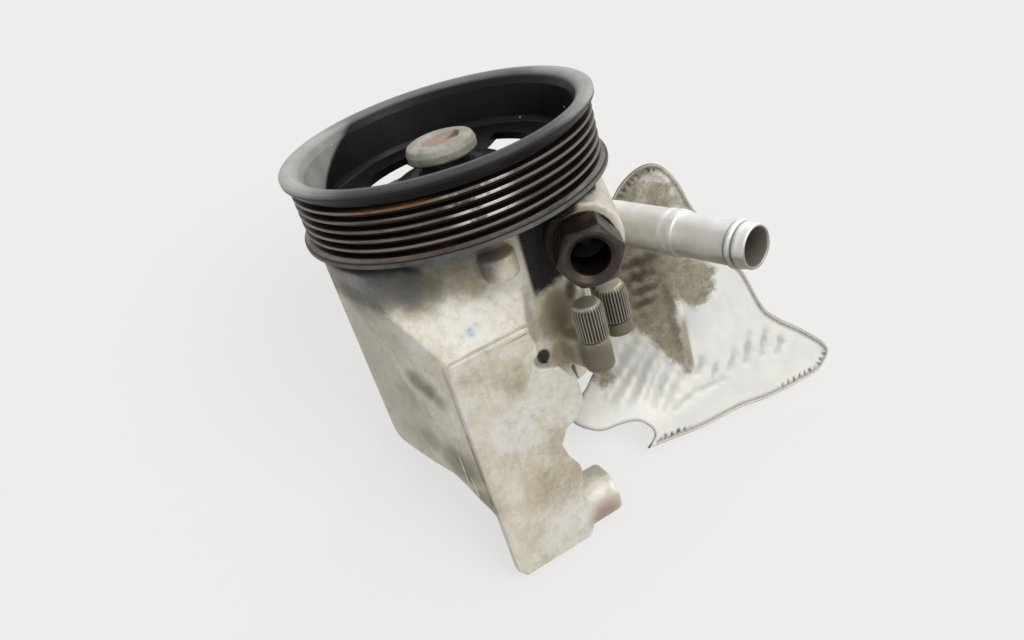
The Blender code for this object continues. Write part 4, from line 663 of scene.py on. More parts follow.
def embossedShieldAluminium():
    # rolled aluminium sheet, embossed: bright whitish skin; road dirt is baked brown into the patch nearest
    # the pump, which is also painted darker as the shadow of pipe and pump, and the valleys and crimps are
    # painted darker as their shade
    look = {"skin": "#ebebe8", "cool": "#e0e2e2", "dirtAndShade": "#8c836b", "soot": "#5f5747", "dust": "#aaa28a",
            "hem": "#cfc8b4", "hemLine": "#3d332b", "valley": "#9b9c97", "deepRow": "#332d25",
            "paleDust": "#9b937c", "speck": "#8b8474"}
    made, tree, shader, place = newMaterial("Rolled aluminium sheet, embossed and dirty")
    clouds = grain(tree, place, 8, 5, 0.6)
    blotches = grain(tree, place, 2.5, 6, 0.7, distortion=0.5)
    fine = grain(tree, place, 0.7, 5, 0.7)
    colour = addNode(tree, "Mix", [
        addNode(tree, "MapRange", [clouds, 0.35, 0.65]), look["skin"], look["cool"]])
    ragged = grain(tree, place, 4.5, 7, 0.75, distortion=0.3)
    dirtAndShade = addNode(tree, "MapRange", [
        addNode(tree, "Math", [
            addNode(tree, "Attribute", attribute_name="dirtAndShade", out="Fac"),
            addNode(tree, "MapRange", [ragged, 0.35, 0.65, 0.0, 0.45])], operation="SUBTRACT"), 0.0, 0.60])
    dirtTone = addNode(tree, "Mix", [
        addNode(tree, "MapRange", [grain(tree, place, 1.8, 6, 0.8), 0.36, 0.64]), look["soot"], look["dust"]])
    dirtTone = addNode(tree, "Mix", [0.35, dirtTone, look["dirtAndShade"]])
    dirtTone = addNode(tree, "Mix", [
        addNode(tree, "MapRange", [clouds, 0.45, 0.62, 0, 0.6]), dirtTone, look["paleDust"]])
    # the troughs are painted darker grey: painted shade in the valleys
    rows = addNode(tree, "MapRange", [
        addNode(tree, "Attribute", attribute_name="valley", out="Fac"), 0.0, 0.9])
    colour = addNode(tree, "Mix", [
        addNode(tree, "Math", [
            rows, addNode(tree, "MapRange", [blotches, 0.3, 0.6, 0.35, 0.60])], operation="MULTIPLY"), colour,
        look["valley"]])
    # the patch nearest the pump: baked dirt and the painted shadow of pipe and pump
    colour = addNode(tree, "Mix", [
        addNode(tree, "Math", [dirtAndShade, 0.90], operation="MULTIPLY"), colour, dirtTone])
    # the pleat's right flank is painted dark: painted shade
    colour = addNode(tree, "Mix", [
        addNode(tree, "Math", [
            addNode(tree, "Attribute", attribute_name="flank", out="Fac"), 0.85], operation="MULTIPLY"),
        colour, look["dirtAndShade"]])
    # darker rows where troughs cross the patch: dirt and painted shade
    colour = addNode(tree, "Mix", [
        addNode(tree, "Math", [
            addNode(tree, "Math", [rows, dirtAndShade], operation="MULTIPLY"),
            addNode(tree, "MapRange", [ragged, 0.3, 0.6, 0.95, 0.60])], operation="MULTIPLY"), colour,
        look["deepRow"]])
    colour = addNode(tree, "Mix", [
        addNode(tree, "Math", [
            addNode(tree, "Attribute", attribute_name="hem", out="Fac"), 0.55], operation="MULTIPLY"), colour,
        look["hem"]])
    # dark lines in the crimp gaps, the hem's groove and along the edge: painted shade
    colour = addNode(tree, "Mix", [
        addNode(tree, "Math", [
            addNode(tree, "Attribute", attribute_name="stitch", out="Fac"),
            addNode(tree, "MapRange", [fine, 0.3, 0.6, 0.6, 1.0])], operation="MULTIPLY"), colour,
        look["hemLine"]])
    colour = addNode(tree, "Mix", [
        addNode(tree, "MapRange", [fine, 0.66, 0.76, 0, 0.3]), colour, look["speck"]])
    tree.links.new(colour, shader.inputs["Base Color"])
    shader.inputs["Metallic"].default_value = 0.20
    tree.links.new(
        addNode(tree, "MapRange", [
            addNode(tree, "Math", [
                addNode(tree, "Math", [blotches, 0.4], operation="MULTIPLY"),
                addNode(tree, "Math", [dirtAndShade, 0.4], operation="MULTIPLY")], operation="ADD"), 0.1, 0.7, 0.48,
            0.70]), shader.inputs["Roughness"])
    relief(tree, shader, [(clouds, 0.30), (blotches, 0.14), (fine, 0.03)])
    return made


def phosphatedScrewSteel():
    # rolled knurl on phosphated steel: olive-grey, dark between the teeth with dirt and painted shade, bright
    # where rubbed
    look = {"skin": "#77736a", "olive": "#5c574a", "bright": "#a9a498", "dirtAndShade": "#2b2823",
            "top": "#bbb5a5"}
    made, tree, shader, place = newMaterial("Phosphated knurled steel")
    clouds = grain(tree, place, 3, 5, 0.6)
    fine = grain(tree, place, 0.5, 5, 0.7)
    colour = addNode(tree, "Mix", [
        addNode(tree, "MapRange", [clouds, 0.35, 0.65]), look["skin"], look["olive"]])
    colour = addNode(tree, "Mix", [
        addNode(tree, "Math", [
            addNode(tree, "Attribute", attribute_name="tooth", out="Fac"), 0.7], operation="MULTIPLY"),
        colour, look["bright"]])
    # between the teeth: dirt and painted shade
    colour = addNode(tree, "Mix", [
        addNode(tree, "Math", [
            addNode(tree, "Attribute", attribute_name="root", out="Fac"), 0.85], operation="MULTIPLY"),
        colour, look["dirtAndShade"]])
    colour = addNode(tree, "Mix", [
        addNode(tree, "Math", [
            addNode(tree, "Attribute", attribute_name="top", out="Fac"),
            addNode(tree, "MapRange", [clouds, 0.3, 0.6, 0.5, 0.9])], operation="MULTIPLY"), colour,
        look["top"]])
    tree.links.new(colour, shader.inputs["Base Color"])
    shader.inputs["Metallic"].default_value = 0.6
    tree.links.new(addNode(tree, "MapRange", [clouds, 0.3, 0.7, 0.38, 0.55]), shader.inputs["Roughness"])
    relief(tree, shader, [(clouds, 0.06), (fine, 0.03)])
    return made


def workedMetal(name, skin, second, grime, metallic, roughness, ring=0.0, grainSize=2.0, grimeShare=0.35):
    # shared build for the plain machined, rolled or plated pieces: skin, a second tone, dirt in patches
    # and, where the piece was turned, rings round the shaft
    made, tree, shader, place = newMaterial(name)
    clouds = grain(tree, place, grainSize, 5, 0.6)
    blotches = grain(tree, place, grainSize * 2.4, 6, 0.65, distortion=0.5)
    fine = grain(tree, place, 0.4, 5, 0.7)
    colour = addNode(tree, "Mix", [addNode(tree, "MapRange", [clouds, 0.35, 0.65]), skin, second])
    colour = addNode(tree, "Mix", [
        addNode(tree, "MapRange", [blotches, 0.62 - grimeShare * 0.2, 0.80, 0, grimeShare * 1.6]), colour,
        grime])
    tree.links.new(colour, shader.inputs["Base Color"])
    shader.inputs["Metallic"].default_value = metallic
    tree.links.new(
        addNode(tree, "MapRange", [
            addNode(tree, "Math", [
                addNode(tree, "Math", [blotches, 0.5], operation="MULTIPLY"),
                addNode(tree, "Math", [fine, 0.3], operation="MULTIPLY")], operation="ADD"), 0.15, 0.7,
            max(0.08, roughness - 0.10), roughness + 0.12]), shader.inputs["Roughness"])
    layers = [(blotches, 0.06), (fine, 0.02)]
    if ring > 0:
        x, y = addNode(tree, "SeparateXYZ", [place]).node.outputs[:2]
        flat = addNode(tree, "CombineXYZ", [x, y])
        away = addNode(tree, "VectorMath", [flat], operation="LENGTH", out="Value")
        perMetre = 2 * math.pi / (ring * mm)
        wave = addNode(tree, "Math", [away, perMetre, 0.5], operation="MULTIPLY_ADD", use_clamp=False)
        wave = addNode(tree, "Math", [wave], operation="SINE", use_clamp=False)
        layers.append((wave, 0.01))
    relief(tree, shader, layers)
    return made


finishes = {
    "housing": castAluminium(),
    "pulley": paintedPulleySteel(),
    "bolt": greyPlatedBolt(),
    "union": heatTintedUnionSteel(),
    "pipe": satinTubeAluminium(),
    "shield": embossedShieldAluminium(),
    "screw": phosphatedScrewSteel(),
    # turned and painted collar: near black, a little oily
    "collar": workedMetal("Black oxide turned collar", "#17181a", "#202225", "#33302b", 0.2, 0.38),
    # lathe-turned aluminium end cover with light corrosion; its tool rings are drawn 0.8 mm apart to show
    "cover": workedMetal("Turned cast aluminium cover", "#a9a69e", "#bcbab4", "#6f6757", 0.7, 0.42, ring=0.8,
                         grainSize=3.0),
    # cylindrical grinding leaves a fine even sheen
    "ground": workedMetal("Ground steel", "#a3a3a5", "#b4b4b6", "#6c665d", 1.0, 0.24),
    # through-hardened and ground: slightly darker and bluer than soft steel
    "hardened": workedMetal("Hardened ground steel", "#8d8f94", "#9b9da2", "#5d5850", 1.0, 0.20),
    # zinc plate, yellowed and dulled by oil
    "plated": workedMetal("Yellowed zinc plate", "#8b8678", "#9b9688", "#4b4232", 0.7, 0.40),
    # annealed copper sealing washer, browned
    "copper": workedMetal("Annealed copper washer, oil browned", "#5a3d30", "#4a3128", "#241a15", 1.0, 0.42),
    # moulded nitrile rubber, oily black
    "rubber": workedMetal("Moulded nitrile rubber", "#141414", "#1c1c1b", "#2b2924", 0.0, 0.55),
    # pressed brass cage, burnished by the balls
    "brass": workedMetal("Pressed brass cage", "#a58a4e", "#b79a5a", "#5e4c2a", 1.0, 0.32),
}
print("finishes ready:", len(finishes))


# CAD nodes whose shape stays: each gets its finish in place of the plain one

plainNodes = {
    "collar": ["hub_collar"],
    "ground": ["drive_shaft", "rear_pressure_plate", "front_pressure_plate", "valve_spool",
               "bracket_bush_upper", "bracket_bush_lower"]
              + ["vane_%02d" % (i + 1) for i in range(10)]
              + ["bearing_ball_%d" % (i + 1) for i in range(8)],
    "hardened": ["rotor", "cam_ring", "bearing_inner_ring", "bearing_outer_ring", "valve_spring"],
    "plated": ["rotor_circlip", "retaining_ring", "cover_retaining_ring", "shield_bolt_1", "shield_bolt_2",
               "shield_washer_1", "shield_washer_2"],
    "cover": ["rear_cover"],
    "copper": ["union_washer"],
    "rubber": ["shaft_seal", "cover_o_ring", "pipe_o_ring"],
    "brass": ["bearing_cage"],
}
for finishName, nodeNames in plainNodes.items():
    for nodeName in nodeNames:
        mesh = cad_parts[nodeName].data
        mesh.materials.clear()
        mesh.materials.append(finishes[finishName])
print("plain nodes finished")


# pulley

def buildPulley():
    size = {
        "lipTop": 111.3, "crest": 59.3, "root": 56.6, "pitch": 3.56, "topCrest": 103.0, "floor": 91.0,
        "web": 3.0, "skirtBottom": 82.7, "hubTop": 93.0, "sleeve": 13.5, "bore": 8.8, "segments": 240,
        # the web's openings: radii, degrees across, turn of the first, and how far the cut reaches
        "windows": {"inner": 22.0, "outer": 38.5, "span": 58.0, "first": 25.0, "below": 7, "above": 4},
    }
    top = size["lipTop"]
    corners = [
        (57.6, top - 0.05, 0.5),
        (59.6, top, 1.2),
        (61.4, top - 0.7, 0.9),
        (61.35, top - 2.7, 1.2),
        (60.2, top - 4.0, 2.5),
        (59.45, 106.3, 0.4),
    ]
    for i in range(6):
        middle = size["topCrest"] + size["pitch"] / 2 - i * size["pitch"]
        mouth = (size["pitch"] - 0.95) / 2
        corners.append((size["crest"], middle + mouth, 0.25))
        corners.append((size["root"], middle + 0.55, 0.3))
        corners.append((size["root"], middle - 0.55, 0.3))
        corners.append((size["crest"], middle - mouth, 0.25))
    skirt = size["skirtBottom"]
    corners += [
        (59.2, skirt + 2.9, 0.8),
        (60.6, skirt + 2.1, 0.6),
        (61.3, skirt + 1.5, 0.35),
        (61.3, skirt + 0.1, 0.3),
        (60.7, skirt, 0.3),
        (54.6, skirt, 0.6),
        (53.4, skirt + 1.6, 1.0),
        (53.4, size["floor"] - size["web"], 1.6),
        (18.5, size["floor"] - size["web"], 1.2),
        (size["sleeve"], 84.8, 1.0),
        (size["sleeve"] - 1, 82.6, 0.4),
        (size["bore"], 82.6, 0.2),
        (size["bore"], size["hubTop"], 0.3),
        (14.8, size["hubTop"], 0.6),
        (17.2, 92.3, 2.5),
        (20.5, size["floor"], 2.0),
        (49.9, size["floor"], 0.8),
        (50.8, size["floor"] + 2.4, 2.0),
        (52.9, top - 4.8, 0.9),
        (54.3, top - 2.2, 0.8),
        (56.2, top - 0.55, 0.9),
    ]
    path = roundedPath(corners, 3)
    points, faces = revolve(path, size["segments"])
    pulley = addPiece("pulleyWheel", points, faces, finishes["pulley"], "rotating", ["pulley"],
                      sharpAngle=50)
    cutWindows(pulley, size)
    return pulley


def cutWindows(pulley, size):
    # three rounded openings through the web
    windows = size["windows"]
    bm = bmesh.new()
    for k in range(3):
        outline = []
        half = windows["span"] / 2
        for i in range(25):
            outline.append(polar(windows["outer"], -half + windows["span"] * i / 24))
        for i in range(13):
            outline.append(polar(windows["inner"], half * 0.84 - windows["span"] * 0.84 * i / 12))
        ring = [(p.x, p.y, 0) for p in outline]
        turn = Matrix.Rotation(math.radians(windows["first"] + 120 * k), 4, "Z")
        low, high = [[bm.verts.new((turn @ Vector(p) + Vector((0, 0, level))) * mm) for p in ring]
                     for level in (size["floor"] - windows["below"], size["floor"] + windows["above"])]
        bm.faces.new(list(reversed(low)))
        bm.faces.new(high)
        for i in range(len(ring)):
            j = (i + 1) % len(ring)
            bm.faces.new((low[i], low[j], high[j], high[i]))
    bmesh.ops.recalc_face_normals(bm, faces=bm.faces)
    mesh = bpy.data.meshes.new("windowTool")
    bm.to_mesh(mesh)
    bm.free()
    tool = bpy.data.objects.new("windowTool", mesh)
    bpy.context.scene.collection.objects.link(tool)
    cut = pulley.modifiers.new("windows", "BOOLEAN")
    cut.operation = "DIFFERENCE"
    cut.solver = "EXACT"
    cut.object = tool
    bakeModifiers(pulley)
    bpy.data.objects.remove(tool)


def bakeModifiers(piece):
    graph = bpy.context.evaluated_depsgraph_get()
    made = bpy.data.meshes.new_from_object(piece.evaluated_get(graph))
    piece.modifiers.clear()
    piece.data = made


pulleyWheel = buildPulley()
print("pulley built:", len(pulleyWheel.data.polygons), "faces")


# pulley bolt

def buildBolt():
    size = {"radius": 14.0, "under": 98.1, "head": 6.8, "dish": 1.4, "shank": 4.5, "shankEnd": 72.4,
            "recess": 7.6, "segments": 144}
    top = size["under"] + size["head"]
    corners = [
        (0, size["shankEnd"], 0),
        (size["shank"] - 0.6, size["shankEnd"], 0.2),
        (size["shank"], size["shankEnd"] + 0.8, 0.2),
        (size["shank"], size["under"], 0.1),
        (size["radius"] - 1.2, size["under"], 0.4),
        (size["radius"] - 0.2, size["under"] + 1.2, 1.0),
        (size["radius"], size["under"] + 3.8, 1.6),
        (size["radius"] - 0.9, top - 0.7, 1.4),
        (size["radius"] - 3.0, top, 1.4),
        (size["recess"] + 0.9, top, 0.7),
        (size["recess"] - 0.3, top - size["dish"] + 0.1, 0.6),
        (4.0, top - size["dish"], 0.2),
        (0, top - size["dish"], 0),
    ]
    path = roundedPath(corners, 5, closed=False)
    points, faces = revolve(path, size["segments"])
    bolt = addPiece("pulleyBoltHead", points, faces, finishes["bolt"], "rotating", ["pulley_bolt"])
    places = vertexArray(bolt.data)
    away = np.hypot(places[:, 0], places[:, 1])
    onTop = places[:, 2] > top - 1.6
    setAttribute(bolt.data, "recess", (1 - smoothStep(6.2, 8.8, away)) * onTop)
    spotAt = polar(6.2, 20)
    spotAway = np.hypot(places[:, 0] - spotAt.x, places[:, 1] - spotAt.y)
    setAttribute(bolt.data, "spot", (1 - smoothStep(1.0, 4.2, spotAway)) * onTop)
    setAttribute(bolt.data, "under", 1 - smoothStep(size["under"] + 0.1, size["under"] + 1.3, places[:, 2]))
    return bolt


buildBolt()
print("pulley bolt built")


# outlet union

def valveFrame():
    return frameAt((43.8, 0, 64.5), polar(1.0, -95.0))


def buildUnion():
    size = {"acrossFlats": 22.2, "length": 14.0, "face": 42.6, "spigot": 9.8, "spigotFrom": 29.5, "bore": 7.1,
            "seatBore": 3.5, "boreDepth": 17.0, "coneStart": 10.2, "coneSlope": 0.85, "mouth": 2.0,
            "turnOffset": 5.0, "segments": 180}
    tip = size["face"] + size["length"]
    flat = size["acrossFlats"] / 2
    points = []
    faces = []
    rows = []
    for i in range(size["segments"]):
        degrees = 360.0 * i / size["segments"]
        fromFlat = (degrees - size["turnOffset"]) % 60 - 30
        hexRadius = min(flat / math.cos(math.radians(fromFlat)), flat * 1.135)
        coneDrop = max(0.15, (hexRadius - size["coneStart"]) * size["coneSlope"])
        row = [
            (size["seatBore"], size["spigotFrom"]),
            (size["spigot"] - 0.6, size["spigotFrom"]),
            (size["spigot"], size["spigotFrom"] + 0.6),
            (size["spigot"], size["face"]),
            (hexRadius - 0.5, size["face"]),
            (hexRadius, size["face"] + 0.4),
            (hexRadius, tip - coneDrop - 0.25),
            (hexRadius - 0.15, tip - coneDrop),
            (size["coneStart"] + 0.25, tip - 0.12),
            (size["coneStart"] - 0.4, tip),
            (size["bore"] + size["mouth"] + 0.2, tip),
            (size["bore"] + size["mouth"] - 0.1, tip - 0.2),
            (size["bore"] + 0.15, tip - 1.9),
            (size["bore"], tip - 2.3),
            (size["bore"], tip - size["boreDepth"]),
            (size["seatBore"], tip - size["boreDepth"] - 2),
        ]
        rows.append([])
        for radius, height in row:
            rows[-1].append(len(points))
            points.append(polar(radius, degrees, height))
    count = len(rows[0])
    for low, high in zip(rows, rows[1:] + rows[:1]):
        for k in range(count):
            j = (k + 1) % count
            faces.append((low[k], low[j], high[j], high[k]))
    union = addPiece("outletUnionHex", points, faces, finishes["union"], "pump", ["outlet_union"],
                     matrix=valveFrame(), sharpAngle=24)
    local = valveFrame().inverted()
    places = np.array([local @ Vector(p) for p in vertexArray(union.data)])
    away = np.hypot(places[:, 0], places[:, 1])
    # the bore is painted nearly black as its shade
    inBore = (away < size["bore"] + 0.3) & (places[:, 2] < tip - 1.7)
    setAttribute(union.data, "paintedBoreShade", inBore * smoothStep(tip - 1.6, tip - 4.5, places[:, 2]))
    # the upper right facets are painted lighter: wear with a painted highlight
    upward = vertexArray(union.data)[:, 2] - 64.5
    right = vertexArray(union.data)[:, 0] - 43.8
    worn = smoothStep(6, 14, upward * 0.6 + right * 0.8) * (places[:, 2] < tip - 0.5)
    setAttribute(union.data, "worn", worn)
    return union


buildUnion()
print("outlet union built")


# knurled cap screws

def buildKnurledScrews():
    size = {"circle": 56.7, "angles": (-53.0, -36.0), "tops": (43.0, 41.0), "radius": 6.1, "height": 15.5,
            "teeth": 30, "toothDepth": 0.55, "shank": 3.6, "shankLength": 5.5, "perTooth": 8}
    segments = size["teeth"] * size["perTooth"]

    def toothRadius(radius, height, degrees):
        if height < 0.35 or height > size["height"] - 1.5 or radius < 5:
            return radius
        phase = (degrees / 360 * size["teeth"]) % 1
        wave = min(1.0, max(0.0, abs(phase - 0.5) * 4 - 0.45))
        return radius - size["toothDepth"] * wave

    for i in range(2):
        top = size["height"]
        corners = [
            (0, -size["shankLength"], 0),
            (size["shank"] - 0.4, -size["shankLength"], 0.1),
            (size["shank"], -size["shankLength"] + 0.4, 0.1),
            (size["shank"], 0, 0.1),
            (5.3, 0, 0.1),
            (size["radius"] - 0.1, 0.4, 0.1),
            (size["radius"], 0.7, 0.1),
            (size["radius"], top - 2.2, 0.1),
            (size["radius"] - 0.35, top - 1.6, 0.2),
            (size["radius"] - 1.2, top - 0.25, 0.4),
            (size["radius"] - 1.9, top, 0.3),
            (0, top, 0),
        ]
        path = roundedPath(corners, 2, closed=False)
        points, faces = revolve(path, segments, toothRadius)
        seat = polar(size["circle"], size["angles"][i], size["tops"][i] - size["height"])
        screw = addPiece("knurledCapScrew%d" % (i + 1), points, faces, finishes["screw"], "pump",
                         ["knurled_screw_%d" % (i + 1)], matrix=Matrix.Translation(seat),
                         sharpAngle=30)
        places = vertexArray(screw.data) - np.array(seat)
        away = np.hypot(places[:, 0], places[:, 1])
        banded = (places[:, 2] > 0.5) & (places[:, 2] < size["height"] - 1.9)
        # the roots between the teeth are darkened: dirt and painted shade
        setAttribute(screw.data, "root", banded * (1 - smoothStep(5.5, 5.85, away)))
        rubbed = np.where(banded, smoothStep(5.9, 6.08, away), smoothStep(14.0, 15.2, places[:, 2]))
        setAttribute(screw.data, "tooth", rubbed)
        setAttribute(screw.data, "top", smoothStep(13.6, 14.6, places[:, 2]))


buildKnurledScrews()
print("knurled screws built")


# suction pipe

def buildPipe():
    size = {"portX": 49.0, "portY": 17.0, "height": 43.7, "spigot": 9.3, "radius": 8.9, "wall": 1.4,
            "bend": 14.5, "angle": -55.6, "run": 68.0, "collar": 34.0, "bead": 61.0, "segments": 96}
    outer = []
    direction = polar(1.0, size["angle"])
    bendAt = Vector((size["portX"] + 1.4, size["portY"], size["height"]))
    centre = bendAt - Vector((0, size["bend"], 0))
    port = Vector((size["portX"] - 7.9, size["portY"], size["height"]))
    outer.append((port, Vector((1, 0, 0)), size["spigot"]))
    for i in range(25):
        turn = size["angle"] * i / 24
        outer.append((centre + polar(size["bend"], 90 + turn), polar(1.0, turn), size["spigot"]))
    bore = [(*entry[:2], size["radius"] - size["wall"]) for entry in outer]
    bendEnd = outer[-1][0]
    collar = size["collar"]
    bead = size["bead"]
    base = size["radius"]
    run = [
        (1.0, size["spigot"]), (collar - 7.2, size["spigot"]), (collar - 6.6, size["spigot"] + 0.25),
        (collar - 5.6, size["spigot"] + 0.3), (collar - 5.0, size["spigot"] + 0.05),
        (collar - 3.4, size["spigot"]), (collar - 2.6, base + 0.75), (collar - 1.6, base + 0.9),
        (collar - 0.4, base + 0.9), (collar + 0.5, base + 0.75), (collar + 0.9, base + 0.25),
        (collar + 1.5, base), (collar + 6, base - 0.03), (bead - 8, base),
        (bead - 2.6, base), (bead - 2.2, base + 0.1), (bead - 1.9, base - 0.25), (bead - 1.6, base - 0.3),
        (bead - 1.3, base + 0.35), (bead - 0.9, base + 0.75), (bead - 0.2, base + 0.9),
        (bead + 0.5, base + 0.75), (bead + 0.9, base + 0.3), (bead + 1.2, base - 0.3),
        (bead + 1.8, base - 0.3), (bead + 2.1, base + 0.2), (bead + 2.7, base + 0.3),
        (bead + 3.4, base + 0.15), (bead + 3.8, base - 0.1), (size["run"] - 1.0, base - 0.1),
        (size["run"] - 0.45, base - 0.15), (size["run"] - 0.1, base - 0.4), (size["run"], base - 0.7),
    ]
    outer += [(bendEnd + direction * at, direction, radius) for at, radius in run]
    inner = base - size["wall"]
    bore += [(bendEnd + direction * (size["run"] * k / 8), direction, inner) for k in range(1, 8)]
    bore += [
        (bendEnd + direction * (size["run"] - 0.8), direction, inner),
        (bendEnd + direction * (size["run"] - 0.2), direction, inner + 0.2),
        (bendEnd + direction * size["run"], direction, inner + 0.45),
    ]
    loops = outer + list(reversed(bore))
    points = []
    faces = []
    rows = []
    for point, along, radius in loops:
        side = Vector((along.y, -along.x, 0)).normalized()
        row = []
        for k in range(size["segments"]):
            turn = 2 * math.pi * k / size["segments"]
            row.append(len(points))
            points.append(point + (side * math.cos(turn) + Vector((0, 0, math.sin(turn)))) * radius)
        rows.append(row)
    for low, high in zip(rows, rows[1:] + rows[:1]):
        for k in range(size["segments"]):
            j = (k + 1) % size["segments"]
            faces.append((low[k], low[j], high[j], high[k]))
    pipe = addPiece("suctionPipeTube", points, faces, finishes["pipe"], "pump", ["suction_pipe"],
                    sharpAngle=40)
    places = vertexArray(pipe.data)
    along = (places - np.array(bendEnd)) @ np.array(direction)
    inside = np.zeros(len(places))
    inside[len(outer) * size["segments"]:] = 1.0
    lip = smoothStep(size["run"] - 1.0, size["run"] - 0.1, along)
    setAttribute(pipe.data, "inside", inside * (1 - lip))
    groove = np.maximum(1 - smoothStep(0.15, 0.55, np.abs(along - (bead - 1.75))),
                        1 - smoothStep(0.15, 0.55, np.abs(along - (bead + 1.5))))
    setAttribute(pipe.data, "groove", groove * (1 - inside))
    # the underside is darker, most of all near the bend: dust and painted shade
    under = smoothStep(1.5, -8, places[:, 2] - size["height"] + 0.12 * (places[:, 1] + 20))
    dust = np.maximum((1 - smoothStep(-4, 26, along)) * under, 0.55 * under)
    setAttribute(pipe.data, "dust", dust)
    return pipe


buildPipe()
print("suction pipe built")


# heat shield

shieldForm = {
    "thickness": 1.2, "hemThickness": 2.2, "hemWidth": 1.5, "turn": 0.268, "lean": 0.30, "fold": 0.70,
    "foldX": 85.0, "foldSoftness": 6.0, "footX": 47.0, "footY": -21.0, "footZ": -54.0,
    "height": 0.9, "step": 0.95,
    "outline": [
        (19.0, -32.5), (26.5, -37.0), (32.0, -38.5), (38.5, -38.8), (46.2, -40.2), (51.0, -44.0),
        (52.5, -49.0), (47.5, -53.0), (61.0, -54.5), (76.0, -56.0), (95.0, -56.0), (112.0, -58.0),
        (136.0, -57.8), (142.5, -55.0), (146.0, -50.8), (144.0, -45.5), (134.5, -35.0), (125.0, -26.2),
        (118.5, -17.5), (113.5, -0.5), (108.5, 10.5), (102.5, 25.0), (96.7, 36.5), (93.8, 47.0),
        (90.0, 54.5), (85.5, 58.5), (80.5, 59.0), (75.0, 57.0), (69.0, 52.5), (64.0, 46.5), (59.0, 40.0),
        (51.0, 34.5), (43.0, 26.0), (41.5, 12.0), (42.5, -1.0), (40.0, -16.0), (31.0, -24.0), (22.5, -28.5),
    ],
    # pressed troughs as they run in the sheet's (x, z): start, end, half width, depth
    "troughs": [
        (35.2, -28.3, 57.2, -14.6, 2.1, 0.8), (38.9, -30.5, 61.0, -18.3, 2.0, 0.7),
        (44.4, -34.9, 65.0, -18.0, 2.1, 0.8), (54.7, -37.8, 67.7, -26.1, 2.0, 0.8),
        (49.5, -37.0, 63.5, -24.5, 1.6, 0.5), (60.5, -40.2, 71.0, -31.5, 1.8, 0.7),
        (64.2, -42.5, 75.9, -39.5, 1.5, 0.7), (75.9, -39.5, 90.9, -40.0, 1.5, 0.7),
        (79.7, -32.1, 83.4, -28.1, 1.5, 0.9), (86.2, -37.4, 89.1, -32.3, 1.5, 0.9),
        (94.8, -37.4, 99.2, -30.7, 1.7, 0.8), (103.9, -37.2, 108.0, -27.2, 1.8, 0.9),
        (112.5, -37.0, 117.7, -26.5, 1.8, 0.9), (120.2, -40.3, 125.5, -31.7, 1.7, 0.9),
        (62.0, 17.0, 75.9, 20.4, 2.0, 0.9), (60.9, 10.4, 72.9, 14.5, 2.0, 0.9),
        (61.8, 4.8, 72.6, 7.5, 1.8, 0.9), (61.3, -0.8, 70.7, 1.4, 1.8, 0.8),
        (60.0, -6.0, 68.0, -5.0, 1.7, 0.5), (94.0, -4.0, 96.0, -20.0, 1.6, 0.2),
        (101.0, -2.0, 103.0, -20.0, 1.6, 0.2),
    ],
    # the patch nearest the pump, with baked road dirt and the painted shadow of pipe and pump: its corners in
    # (x, z)
    "dirtAndShadowPatch": [
        (52, 30), (66, 30), (80, 22), (97, 11), (98, 3), (93, -4), (85.5, -5), (83, -1), (79.0, -1),
        (77.5, -8), (77.5, -14), (78, -24), (75.5, -31), (71, -25), (66.5, -18.5), (63.5, -12.5),
        (60.5, -10), (57, -10), (52.5, -4), (48, -3), (44, 6), (44, 20),
    ],
    # the pressed pleat that runs down from under the pipe
    "pleat": {"x": 79.0, "z": -4.0, "endZ": -34.0, "startZ": 6.0, "height": 2.0, "left": 5.0, "right": 2.6,
              "lean": -0.05},
    # corners between which the edge is hemmed, crimped or plain
    "corners": {"tongue": (47.5, -53.0), "tip": (146.0, -50.8), "lobe": (85.5, 58.5), "hidden": (51.0, 34.5)},
}


def shieldDepth(x, z):
    # where the middle of the sheet lies along Y, for arrays of x and z
    rise = z - shieldForm["footZ"]
    blend = np.clip((rise - 7) / 50, 0, 1)
    blend = blend * blend * (3 - 2 * blend)
    soft = shieldForm["foldSoftness"]
    bend = soft * np.log1p(np.exp((shieldForm["foldX"] - x) / soft))
    return (shieldForm["footY"] + shieldForm["turn"] * (x - shieldForm["footX"]) + shieldForm["lean"] * rise
            + shieldForm["fold"] * bend * blend)


def smoothOutline(corners, step):
    # a curve through the corners, with the sharp tongue beside the cut-out kept sharp
    curve = []
    count = len(corners)
    sharp = {7}
    for i in range(count):
        p0, p1, p2, p3 = [np.array(corners[(i + k - 1) % count], float) for k in range(4)]
        if i in sharp:
            p0 = p1
        if (i + 1) % count in sharp:
            p3 = p2
        pieces = max(2, int(round(np.linalg.norm(p2 - p1) / step)))
        for k in range(pieces):
            t = k / pieces
            curve.append(0.5 * (2 * p1 + (p2 - p0) * t + (2 * p0 - 5 * p1 + 4 * p2 - p3) * t ** 2
                                + (3 * p1 - p0 - 3 * p2 + p3) * t ** 3))
    return np.array(curve)


